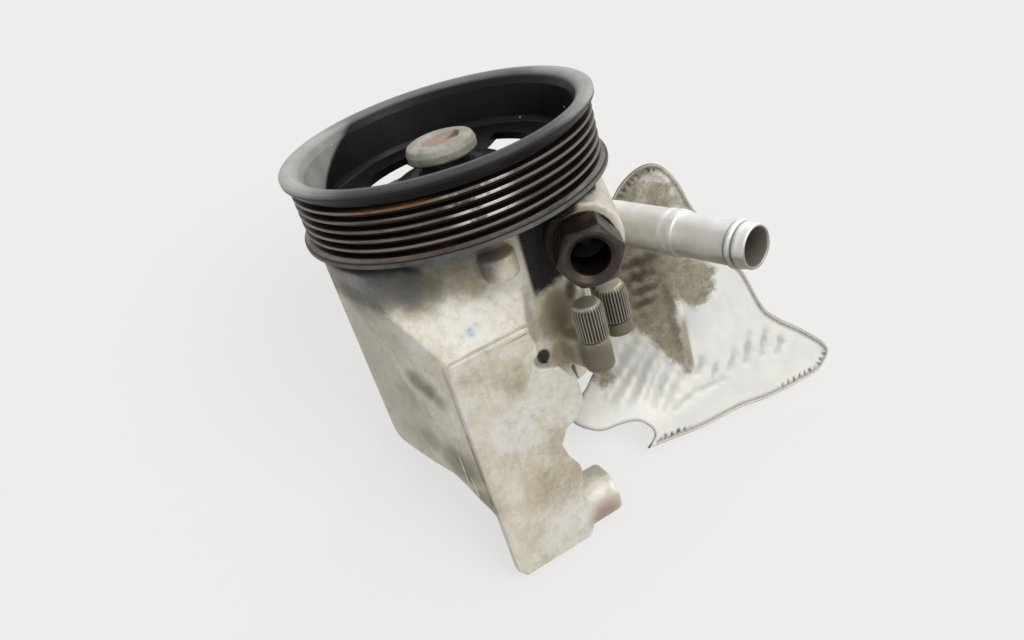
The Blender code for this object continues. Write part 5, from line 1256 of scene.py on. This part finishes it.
def buildShield():
    form = shieldForm
    edge = smoothOutline(form["outline"], form["step"])
    tree = KDTree(len(edge))
    for i, (x, z) in enumerate(edge):
        tree.insert((x, 0, z), i)
    tree.balance()
    low = edge.min(0)
    high = edge.max(0)
    # rows of points inside the outline, offset like bricks, kept clear of the edge rings
    inner = []
    rings = []
    for inset in (0.7, 1.5, 2.3, 3.1):
        rings.append(insetLoop(edge, inset))
    row = 0
    z = low[1] + 1
    while z < high[1]:
        x = low[0] + (0.5 * form["step"] if row % 2 else 0)
        while x < high[0]:
            if insideLoop(edge, x, z):
                away = tree.find((x, 0, z))[2]
                if away > 3.7:
                    inner.append((x, z))
            x += form["step"]
        z += form["step"] * 0.87
        row += 1
    flat = [tuple(p) for p in edge]
    for ring in rings:
        flat += [tuple(p) for p in ring if insideLoop(edge, p[0], p[1])]
    flat += inner
    border = [(i, (i + 1) % len(edge)) for i in range(len(edge))]
    made = delaunay_2d_cdt([Vector(p) for p in flat], border, [list(range(len(edge)))], 1, 1e-5)
    spots = np.array([tuple(p) for p in made[0]])
    triangles = [list(f) for f in made[2]]
    return liftShield(spots, triangles, edge, tree)


def insetLoop(edge, inset):
    after = np.roll(edge, -1, axis=0) - np.roll(edge, 1, axis=0)
    normal = np.stack([-after[:, 1], after[:, 0]], axis=1)
    normal /= np.linalg.norm(normal, axis=1)[:, None]
    return edge + normal * inset


def insideLoop(edge, x, z):
    a = edge
    b = np.roll(edge, -1, axis=0)
    crosses = (a[:, 1] > z) != (b[:, 1] > z)
    at = a[:, 0] + (z - a[:, 1]) / np.where(crosses, b[:, 1] - a[:, 1], 1) * (b[:, 0] - a[:, 0])
    return bool(np.count_nonzero(crosses & (x < at)) % 2)


def liftShield(spots, triangles, edge, tree):
    form = shieldForm
    x = spots[:, 0]
    z = spots[:, 1]
    away = np.zeros(len(spots))
    station = np.zeros(len(spots))
    lengths = np.concatenate([[0], np.cumsum(np.linalg.norm(np.diff(edge, axis=0), axis=1))])
    for i in range(len(spots)):
        found = tree.find((x[i], 0, z[i]))
        away[i] = found[2]
        station[i] = lengths[found[1]]
    fade = smoothStep(3.2, 9.0, away)
    spots3 = np.stack([x, np.zeros(len(x)), z], axis=1)
    wave = np.zeros(len(x))
    wobble = 0.22 * np.sin(x * 0.9 + z * 0.7) + 0.18 * np.sin(x * 0.55 - z * 1.3)
    for x0, z0, x1, z1, half, depth in form["troughs"]:
        off, t = segmentDistance(spots3, (x0, 0, z0), (x1, 0, z1))
        soft = 1 - smoothStep(0, half * 1.9, off * (1 + wobble))
        wave = np.minimum(wave, -depth * soft * (0.45 + 0.55 * np.sin(math.pi * np.clip(t, 0.12, 0.88))))
    wave = wave * fade
    crease = pleatHeight(x, z)
    middle = wave * form["height"] + crease
    step = 0.2
    slopeX = (shieldDepth(x + step, z) - shieldDepth(x - step, z)) / (2 * step)
    slopeZ = (shieldDepth(x, z + step) - shieldDepth(x, z - step)) / (2 * step)
    normal = np.stack([slopeX, -np.ones(len(x)), slopeZ], axis=1)
    normal /= np.linalg.norm(normal, axis=1)[:, None]
    centre = np.stack([x, shieldDepth(x, z), z], axis=1) + normal * middle[:, None]
    # the hem is rolled over where the edge is not the plain cut-out
    def inRun(first, last):
        return smoothStep(first - 3, first + 3, station) * (1 - smoothStep(last - 3, last + 3, station))

    total = lengths[-1]
    marks = stationsOf(edge, lengths)
    plain = inRun(0, marks["tongue"] - 4)
    plain = np.maximum(plain, inRun(marks["hidden"], total + 9))
    hemmed = (1 - plain) * (1 - smoothStep(form["hemWidth"] - 0.5, form["hemWidth"] + 0.4, away))
    pulse = np.sin(2 * math.pi * station / 3.1) + 0.35 * np.sin(2 * math.pi * station / 7.7)
    pulse = smoothStep(0.1, 0.5, pulse)
    crimped = np.maximum(inRun(marks["tongue"], marks["tongue"] + 21),
                         np.maximum(inRun(marks["tip"] - 32, marks["tip"] + 3),
                                    inRun(marks["lobe"] - 2, marks["lobe"] + 26)))
    stitches = crimped * pulse * smoothStep(1.2, 2.0, away) * (1 - smoothStep(3.0, 3.6, away))
    roundEdge = np.sqrt(np.clip(1 - (1 - np.clip(away / 0.9, 0, 1)) ** 2, 0.04, 1))
    half = form["thickness"] / 2 + (form["hemThickness"] - form["thickness"]) / 2 * hemmed
    half = half * roundEdge - 0.35 * stitches
    groove = (1 - plain) * (1 - smoothStep(0.25, 0.6, np.abs(away - form["hemWidth"] - 0.35)))
    half = half - 0.15 * groove
    half = np.maximum(half, 0.2)
    front = centre + normal * half[:, None]
    back = centre - normal * half[:, None]
    count = len(spots)
    points = np.concatenate([front, back])
    faces = [tuple(f) for f in triangles]
    faces += [tuple(i + count for i in reversed(f)) for f in triangles]
    # the rim between front and back
    seen = {}
    for f in triangles:
        for k in range(3):
            a, b = f[k], f[(k + 1) % 3]
            key = (min(a, b), max(a, b))
            seen[key] = None if key in seen else (a, b)
    for pair in seen.values():
        if pair:
            a, b = pair
            faces.append((b, a, a + count, b + count))
    shield = addPiece("heatShieldSheet", points, faces, finishes["shield"], "pump", ["heat_shield"],
                      sharpAngle=60)

    def both(values):
        return np.concatenate([values, values])

    patch = smoothOutline(form["dirtAndShadowPatch"], 1.0)
    inPatch = np.array([insideLoop(patch, x[i], z[i]) for i in range(len(x))])
    nearest = np.array([np.hypot(patch[:, 0] - x[i], patch[:, 1] - z[i]).min() for i in range(len(x))])
    dirtAndShade = smoothStep(-5.5, 4.5, np.where(inPatch, nearest, -nearest))
    # dirt and painted shade thin out upward into the lobe, and lie in the corner beside the screw bosses
    dirtAndShade = np.maximum(dirtAndShade, 0.72 * smoothStep(20, 30, z) * (1 - 0.40 * smoothStep(82, 92, x)))
    dirtAndShade = np.maximum(dirtAndShade, 0.75 * (1 - smoothStep(3, 12, np.hypot(x - 36, z + 20))))
    dirtAndShade = np.maximum(dirtAndShade, 0.30 * (1 - smoothStep(0, 5.0, away)) * (1 - plain))
    setAttribute(shield.data, "dirtAndShade", both(dirtAndShade))
    setAttribute(shield.data, "valley", both(np.clip(-wave, 0, 1)))
    # the right flank of the pleat is painted dark as its shade
    flank = (1 - smoothStep(0.6, 2.4, np.abs(x - 80.0 - (z + 10) * 0.12))) * smoothStep(-33, -27, z)
    setAttribute(shield.data, "flank", both(flank * (1 - smoothStep(-12, -5, z))))
    setAttribute(shield.data, "hem", both(hemmed))
    # dark in the crimp gaps, the hem's groove and along the edge: painted shade
    lined = np.maximum(stitches, 0.9 * groove)
    lined = np.maximum(lined, 0.85 * (1 - plain) * (1 - smoothStep(0.15, 0.60, away)))
    lined = np.maximum(lined, 0.75 * plain * (1 - smoothStep(0.3, 0.9, away)))
    setAttribute(shield.data, "stitch", both(lined))
    print("heat shield built:", len(faces), "faces")
    return shield


def stationsOf(edge, lengths):
    # how far round the edge the named corners lie
    return {name: float(lengths[np.argmin(np.hypot(edge[:, 0] - x, edge[:, 1] - z))])
            for name, (x, z) in shieldForm["corners"].items()}


def pleatHeight(x, z):
    # steep on the left, gentle on the right
    pleat = shieldForm["pleat"]
    off = x - (pleat["x"] + (pleat["z"] - z) * pleat["lean"])
    side = np.where(off < 0, np.clip(1 + off / pleat["left"], 0, 1), np.clip(1 - off / pleat["right"], 0, 1))
    side = side * side * (3 - 2 * side)
    reach = smoothStep(pleat["endZ"], pleat["endZ"] + 14, z)
    reach = reach * (1 - smoothStep(pleat["startZ"] - 6, pleat["startZ"] + 8, z))
    return pleat["height"] * side * reach


buildShield()


# housing casting

castingForm = {
    "voxel": 0.85, "smoothing": 5, "limit": 190000,
    "pocketFloor": {"middle": (-35.1, -44.4), "side": (0.591, -0.807), "outward": (-0.807, -0.591),
                    "wallHeight": 54.6, "along": (-13.0, 9.0), "up": (17.0, 33.0), "depth": (-2.2, 0.0)},
    "pocketDent": {"middle": (-35.1, -44.4, 27.0), "outward": (-0.807, -0.591, 0.0),
                   "side": (0.591, -0.807, 0.0), "reach": 16.5, "ring": 20.5, "outerSkin": 54.6,
                   "deepest": 7.5, "kept": 0.15},
    # lips, ridges and dents: start, end, half width, height
    "relief": [
        ((-36.5, -49.5, 64.0), (-20.5, -60.5, 42.2), 1.2, 0.4),
        ((-20.5, -60.5, 42.2), (13.0, -48.6, 41.8), 1.1, 0.35),
        ((-22.5, -58.6, 40.0), (-22.5, -58.6, -62.0), 1.2, 0.35),
        ((-25.6, -55.9, 20.0), (-27.2, -53.0, -23.0), 1.1, 0.55),
        ((-28.0, -53.8, 12.0), (-29.6, -50.6, -18.0), 1.0, 0.45),
        ((-11.6, -57.0, 30.1), (3.7, -51.4, 26.8), 1.1, -0.4),
        ((-12.0, -57.1, 26.2), (-11.9, -57.0, 18.6), 1.0, 0.45),
        ((-10.5, -56.6, 8.4), (-7.0, -55.4, 7.6), 1.4, -0.5),
    ],
    # colour patches: stain, oxide, grime (partly painted shade), paint, painted shade and the pulley's
    # painted shadow: middle (x, y, z), reach, strength
    "marks": {
        "oxide": [
            ((-12, -48, 53), 18, 0.6), ((6, -43, 53), 14, 0.6), ((-26, -52, 55), 12, 0.5),
            ((-36, -48, 62), 8, 0.4), ((8, -50, 12), 12, 0.8), ((20, -45, 4), 16, 1.0),
            ((8, -50, -60), 18, 0.8), ((-6, -55, 4), 14, 0.65), ((12, -46, 20), 10, 0.8),
            ((0, -52, -56), 14, 0.6),
        ],
        "stain": [
            ((-22, -43, 67), 14, 0.55), ((-4, -40, 66), 14, 0.55), ((-36, -42, 70), 10, 0.5),
            ((7.8, -45, 72), 8, 0.95), ((0, -52, 24), 10, 0.45), ((5, -50, -30), 18, 0.45),
            ((10, -49, -14), 14, 0.4), ((24, -34, 34), 13, 0.8), ((-14, -57, 34), 8, 0.35),
            ((33, -50, 20), 13, 0.4), ((46, -40, 22), 12, 0.4), ((22, -37, 20), 8, 0.7),
        ],
        "grime": [
            ((14, -40, 22), 4, 0.8), ((40, -42, 12), 8, 0.7), ((44, -24, 26), 12, 0.8),
            ((36, -30, 40), 9, 0.7), ((58, 12, 12), 22, 0.75),
        ],
        "paintedPulleyShadow": [
            ((-46, -34, 72), 14, 0.8), ((-36, -41, 71), 13, 0.8), ((-26, -45, 71), 12, 0.85),
            ((-16, -47, 71), 11, 0.85), ((-7, -48, 71), 10, 0.85), ((2, -47, 72), 8, 0.8),
            ((-16, -46, 76), 9, 1.0), ((-4, -46, 77), 9, 1.0), ((-55, -14, 74), 13, 0.8),
        ],
        "pinkish": [
            ((20, -45, -60), 9, 1.0),
        ],
        "teal": [
            ((-9.4, -50.8, 48.2), 2.2, 0.8), ((-6.5, -49.5, 49.6), 1.3, 0.5),
        ],
        "rubbed": [
            ((30, -41, -49), 7, 0.7), ((34, -38, 6), 9, 0.4), ((20, -40, -48), 8, 0.5),
        ],
        "shade": [
            ((-52, -20, 40), 26, 0.34), ((-46, -30, 10), 24, 0.34), ((-36, -42, 50), 12, 0.25),
            ((-34, -48, 33), 7, 0.8), ((-31, -50.5, 30), 6, 0.85), ((-27.5, -53, 26), 5, 0.6),
            ((-30, -50, -8), 13, 0.8), ((-38, -38, 0), 9, 0.6), ((-26, -55, -26), 9, 0.7),
            ((-42, -36, 20), 12, 0.4), ((33, -50, 20), 13, 1.0), ((46, -40, 22), 13, 1.0),
            ((-44, -34, 55), 12, 0.3), ((26, -34, 36), 9, 0.5), ((20, -36, -20), 8, 0.9),
        ],
    },
    # dark lines along edges and ridges, dirt with painted shade, and pale lines rubbed bright with a painted
    # highlight: start, end, half width, strength
    "lines": {
        "grime": [
            ((-22.6, -58.2, 41), (-22.6, -58.2, 10), 1.1, 0.34),
            ((-22.6, -58.2, 10), (-22.6, -58.2, -26), 1.2, 0.4),
            ((-23.6, -58.6, -26), (-23.2, -59.4, -64), 0.9, 0.38),
            ((-30.5, -49.5, -4), (-27.0, -53.5, -24), 1.4, 0.3),
            ((-19.0, -60.2, 40.2), (12.6, -48.4, 39.7), 0.6, 0.52),
            ((-9.0, -57.0, 30.4), (4.4, -51.8, 29.2), 0.6, 0.48),
            ((-37.5, -48.4, 65.4), (-23.0, -58.8, 44.6), 0.6, 0.45),
        ],
        "rubbed": [
            ((-20.6, -60.5, 42.3), (13.0, -48.4, 41.8), 0.7, 0.62),
            ((-36.5, -49.0, 64.4), (-20.8, -60.4, 42.6), 0.7, 0.6),
            ((-21.2, -60.7, 40), (-21.2, -60.7, -64), 0.8, 0.5),
            ((-25.6, -55.9, 20), (-27.2, -53.0, -23), 0.7, 0.75),
            ((-28.0, -53.8, 12), (-29.6, -50.6, -18), 0.6, 0.65),
            ((15.2, -40.0, 60.8), (13.2, -47.0, 43.0), 0.8, 0.6),
        ],
    },
}


def buildCasting():
    # the casting is remeshed so that its edges come out rounded, as a die leaves them
    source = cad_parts["pump_housing"]
    mesh = source.data.copy()
    mesh.materials.clear()
    mesh.materials.append(finishes["housing"])
    addPocketFloor(mesh)
    casting = bpy.data.objects.new("pumpCasting", mesh)
    bpy.context.scene.collection.objects.link(casting)
    weld = casting.modifiers.new("weld", "WELD")
    weld.merge_threshold = 0.00001
    remesh = casting.modifiers.new("remesh", "REMESH")
    remesh.mode = "VOXEL"
    remesh.voxel_size = castingForm["voxel"] * mm
    smooth = casting.modifiers.new("smooth", "SMOOTH")
    smooth.factor = 0.5
    smooth.iterations = castingForm["smoothing"]
    bakeModifiers(casting)
    print("casting remeshed:", len(casting.data.polygons), "faces")
    places = vertexArray(casting.data)
    normals = normalArray(casting.data)
    places = shallowPocket(places, normals)
    moveVertices(casting.data, places + normals * castingRelief(places)[:, None])
    triangles = len(casting.data.polygons) * 2
    if triangles > castingForm["limit"]:
        # what faces away from the camera gives up more of its triangles
        hidden = casting.vertex_groups.new(name="hidden")
        turned = (places[:, 1] > -24) | (normals[:, 1] > 0.35)
        hidden.add([int(i) for i in np.nonzero(turned)[0]], 1.0, "REPLACE")
        thin = casting.modifiers.new("thin", "DECIMATE")
        thin.ratio = castingForm["limit"] / triangles
        thin.vertex_group = "hidden"
        thin.vertex_group_factor = 4.0
        bakeModifiers(casting)
    casting.data.shade_smooth()
    places = vertexArray(casting.data)
    for name, spots in castingForm["marks"].items():
        amount = np.zeros(len(places))
        for middle, reach, strength in spots:
            away = np.linalg.norm(places - np.array(middle), axis=1)
            amount = np.maximum(amount, strength * (1 - smoothStep(reach * 0.35, reach * 1.25, away)))
        for start, end, half, strength in castingForm["lines"].get(name, []):
            away = segmentDistance(places, start, end)[0]
            amount = np.maximum(amount, strength * (1 - smoothStep(half * 0.4, half * 1.6, away)))
        if name == "grime":
            amount = np.maximum(amount, underPulleyShadeAndGrime(places))
        if name == "paintedPulleyShadow":
            # the band right under the pulley is its painted shadow
            amount = np.maximum(amount, beltDustAndShadowBand(places, 68.0, 73.0, 0.80))
        if name == "stain":
            band = beltDustAndShadowBand(places, 61.0, 66.5, 0.55) - beltDustAndShadowBand(places, 70.0, 74.0, 0.40)
            amount = np.maximum(amount, band)
        setAttribute(casting.data, name, amount)
    return dressPiece(casting, "pump", ["pump_housing"])


def addPocketFloor(mesh):
    # the cast pocket in the left wall reads as a soft dent: a slab inside the wall gives it a floor
    pocket = castingForm["pocketFloor"]
    middle, side, outward = (np.array(pocket[key]) for key in ("middle", "side", "outward"))
    start = middle - outward * (middle @ outward) + outward * pocket["wallHeight"]
    solid = bmesh.new()
    solid.from_mesh(mesh)
    corners = []
    for depth in pocket["depth"]:
        for up in pocket["up"]:
            for along in pocket["along"]:
                flat = start + outward * depth + side * along
                corners.append(solid.verts.new((flat[0] * mm, flat[1] * mm, up * mm)))
    for face in ((0, 1, 3, 2), (4, 6, 7, 5), (0, 4, 5, 1), (2, 3, 7, 6), (0, 2, 6, 4), (1, 5, 7, 3)):
        solid.faces.new([corners[i] for i in face])
    solid.to_mesh(mesh)
    solid.free()


def shallowPocket(places, normals):
    # the pocket in the left wall shows only as a soft dent, so most of its depth is filled
    pocket = castingForm["pocketDent"]
    outward = np.array(pocket["outward"])
    height = places @ outward
    along = (places - np.array(pocket["middle"])) @ np.array(pocket["side"])
    up = places[:, 2] - pocket["middle"][2]
    away = np.hypot(along, up)
    ring = (away > pocket["reach"]) & (away < pocket["ring"]) & (height > pocket["outerSkin"])
    ring &= normals @ outward > 0.8
    terms = np.stack([np.ones(len(places)), along, up, along ** 2, up ** 2, along * up], axis=1)
    wall = terms @ np.linalg.lstsq(terms[ring], height[ring], rcond=None)[0]
    depth = np.clip(wall - height, 0, None)
    near = (away < pocket["reach"]) & (depth < pocket["deepest"]) & (normals @ outward > -0.2)
    inside = 1 - smoothStep(pocket["reach"] - 2.0, pocket["reach"], away)
    lift = depth * (1 - pocket["kept"]) * inside * near
    return places + outward * lift[:, None]


def beltDustAndShadowBand(places, low, high, strength):
    # level bands on the walls of the hood below the pulley: the upper one is the pulley's painted shadow, the
    # lower one belt dust
    x, y, z = places.T
    return strength * smoothStep(low, high, z) * (1 - smoothStep(4, 9, x)) * (1 - smoothStep(-16, -8, y))


def underPulleyShadeAndGrime(places):
    # the casting under the pulley is painted black: painted shade, with belt dust and oil
    x, y, z = places.T
    away = np.hypot(x, y)
    return smoothStep(74.5, 77.0, z) * (1 - smoothStep(43, 52, away - 9 * smoothStep(12, 24, x)))


def castingRelief(places):
    # raised lips, parting ridges and dents that the CAD solid leaves out
    total = np.zeros(len(places))
    for start, end, half, height in castingForm["relief"]:
        away = segmentDistance(places, start, end)[0]
        total += height * (1 - smoothStep(0, half * 1.6, away))
    return total


buildCasting()
print("casting built")


# stage, light and camera

photoTable = {"normal": (0.148, -0.524, 0.839), "colour": "#f0eeea", "seen": "#ededed", "flatShare": 0.75,
              "size": 1.6}
shot = {"lens": 29.81, "place": (6.339, -318.512, 197.044), "right": (0.95516, -0.14414, -0.25863),
        "up": (0.29609, 0.46500, 0.83433)}


def seenDirectly(tree):
    # 1 where the eye, a mirror or a pane looks at it, 0 where it only throws light back
    path = addNode(tree, "LightPath").node.outputs
    mirrored = addNode(tree, "Math", [path["Is Glossy Ray"], path["Is Transmission Ray"]], operation="ADD")
    return addNode(tree, "Math", [path["Is Camera Ray"], mirrored], operation="ADD")


def tableMaterial():
    # matt white table: its upper side shows, and from below it lets the view through
    made, tree, shader, place = newMaterial("Matt white table")
    shader.inputs["Base Color"].default_value = linearColour(photoTable["colour"])
    shader.inputs["Roughness"].default_value = 0.9
    shader.inputs["Specular IOR Level"].default_value = 0.0
    facing = addNode(tree, "NewGeometry", out="Backfacing")
    away = addNode(tree, "VectorMath", [place], operation="LENGTH", out="Value")
    hidden = addNode(tree, "Math", [
        facing, addNode(tree, "MapRange", [away, 0.36, 0.70])], operation="MAXIMUM", use_clamp=False)
    clear = addNode(tree, "BsdfTransparent")
    # the photo's table is evenly pale: most of what is seen is its own flat tone, the rest keeps the shadow
    tone = addNode(tree, "Emission", {"Color": photoTable["seen"], "Strength": 1.0})
    share = addNode(tree, "Math", [seenDirectly(tree), photoTable["flatShare"]], operation="MULTIPLY")
    surface = addNode(tree, "MixShader", [share, shader.outputs[0], tone])
    shown = addNode(tree, "MixShader", [hidden, surface, clear])
    tree.links.new(shown, tree.nodes["Material Output"].inputs["Surface"])
    return made


def buildStage():
    # the table is the plane that the pump lay on, seen in the pump's own frame
    normal = Vector(photoTable["normal"]).normalized()
    graph = bpy.context.evaluated_depsgraph_get()
    lowest = 1e9
    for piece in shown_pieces():
        mesh = piece.evaluated_get(graph).data
        points = np.zeros(len(mesh.vertices) * 3, np.float32)
        mesh.vertices.foreach_get("co", points)
        lowest = min(lowest, float((points.reshape(-1, 3) @ np.array(normal)).min()))
    half = photoTable["size"] / 2
    mesh = bpy.data.meshes.new("tableTop")
    corners = [(-half, -half, 0), (half, -half, 0), (half, half, 0), (-half, half, 0)]
    mesh.from_pydata(corners, [], [(0, 1, 2, 3)])
    mesh.materials.append(tableMaterial())
    table = bpy.data.objects.new("tableTop", mesh)
    bpy.context.scene.collection.objects.link(table)
    table.matrix_world = frameAt(normal * lowest, normal)
    print("table at", round(lowest / mm, 2), "mm")


def buildLight():
    lamps = [
        # broad light from the front right, behind the camera
        ("frontGlow", (0.55, -0.60, 0.60), 1.10, 40.0, "#fffaf2"),
        # a small window behind the pump on the right, for glints on the rib tips and lips
        ("backWindow", (0.50, 0.55, 0.80), 0.35, 6.0, "#f4f8ff"),
    ]
    for name, toward, strength, spreadAngle, colour in lamps:
        data = bpy.data.lights.new(name, "SUN")
        data.energy = strength
        data.angle = math.radians(spreadAngle)
        data.color = linearColour(colour)[:3]
        lamp = bpy.data.objects.new(name, data)
        bpy.context.scene.collection.objects.link(lamp)
        lamp.rotation_mode = "QUATERNION"
        lamp.rotation_quaternion = Vector(toward).normalized().to_track_quat("Z", "Y")
        lamp.location = Vector(toward) * 0.5


def buildWorld():
    world = bpy.data.worlds.new("softRoom")
    bpy.context.scene.world = world
    world.use_nodes = True
    tree = world.node_tree
    tree.nodes.clear()
    # the room: pale walls to the front right and overhead, dimmer to the left
    roomSide = {"way": (0.70, -0.30, 0.65), "dim": 0.06, "bright": 0.80}
    way = addNode(tree, "TexCoord", out="Generated")
    share = addNode(tree, "VectorMath", [way, roomSide["way"]], operation="DOT_PRODUCT", out="Value")
    level = addNode(tree, "MapRange", [share, -0.75, 0.80, roomSide["dim"], roomSide["bright"]])
    room = addNode(tree, "Background", {"Color": (1.0, 0.985, 0.96, 1.0), "Strength": level})
    backdrop = addNode(tree, "Background", {"Color": photoTable["seen"], "Strength": 1.0})
    shown = addNode(tree, "MixShader", [seenDirectly(tree), room, backdrop])
    addNode(tree, "OutputWorld", {"Surface": shown})


def buildCamera():
    data = bpy.data.cameras.new("photoCamera")
    data.lens = shot["lens"]
    data.sensor_width = 36.0
    data.clip_start = 0.01
    data.clip_end = 20.0
    camera = bpy.data.objects.new("photoCamera", data)
    bpy.context.scene.collection.objects.link(camera)
    right = Vector(shot["right"])
    up = Vector(shot["up"])
    back = right.cross(up)
    turn = Matrix((right, up, back)).transposed().to_4x4()
    camera.matrix_world = Matrix.Translation(Vector(shot["place"]) * mm) @ turn
    bpy.context.scene.camera = camera


buildStage()
buildLight()
buildWorld()
buildCamera()
bpy.context.scene.view_settings.view_transform = "Standard"
print("stage, light and camera ready")
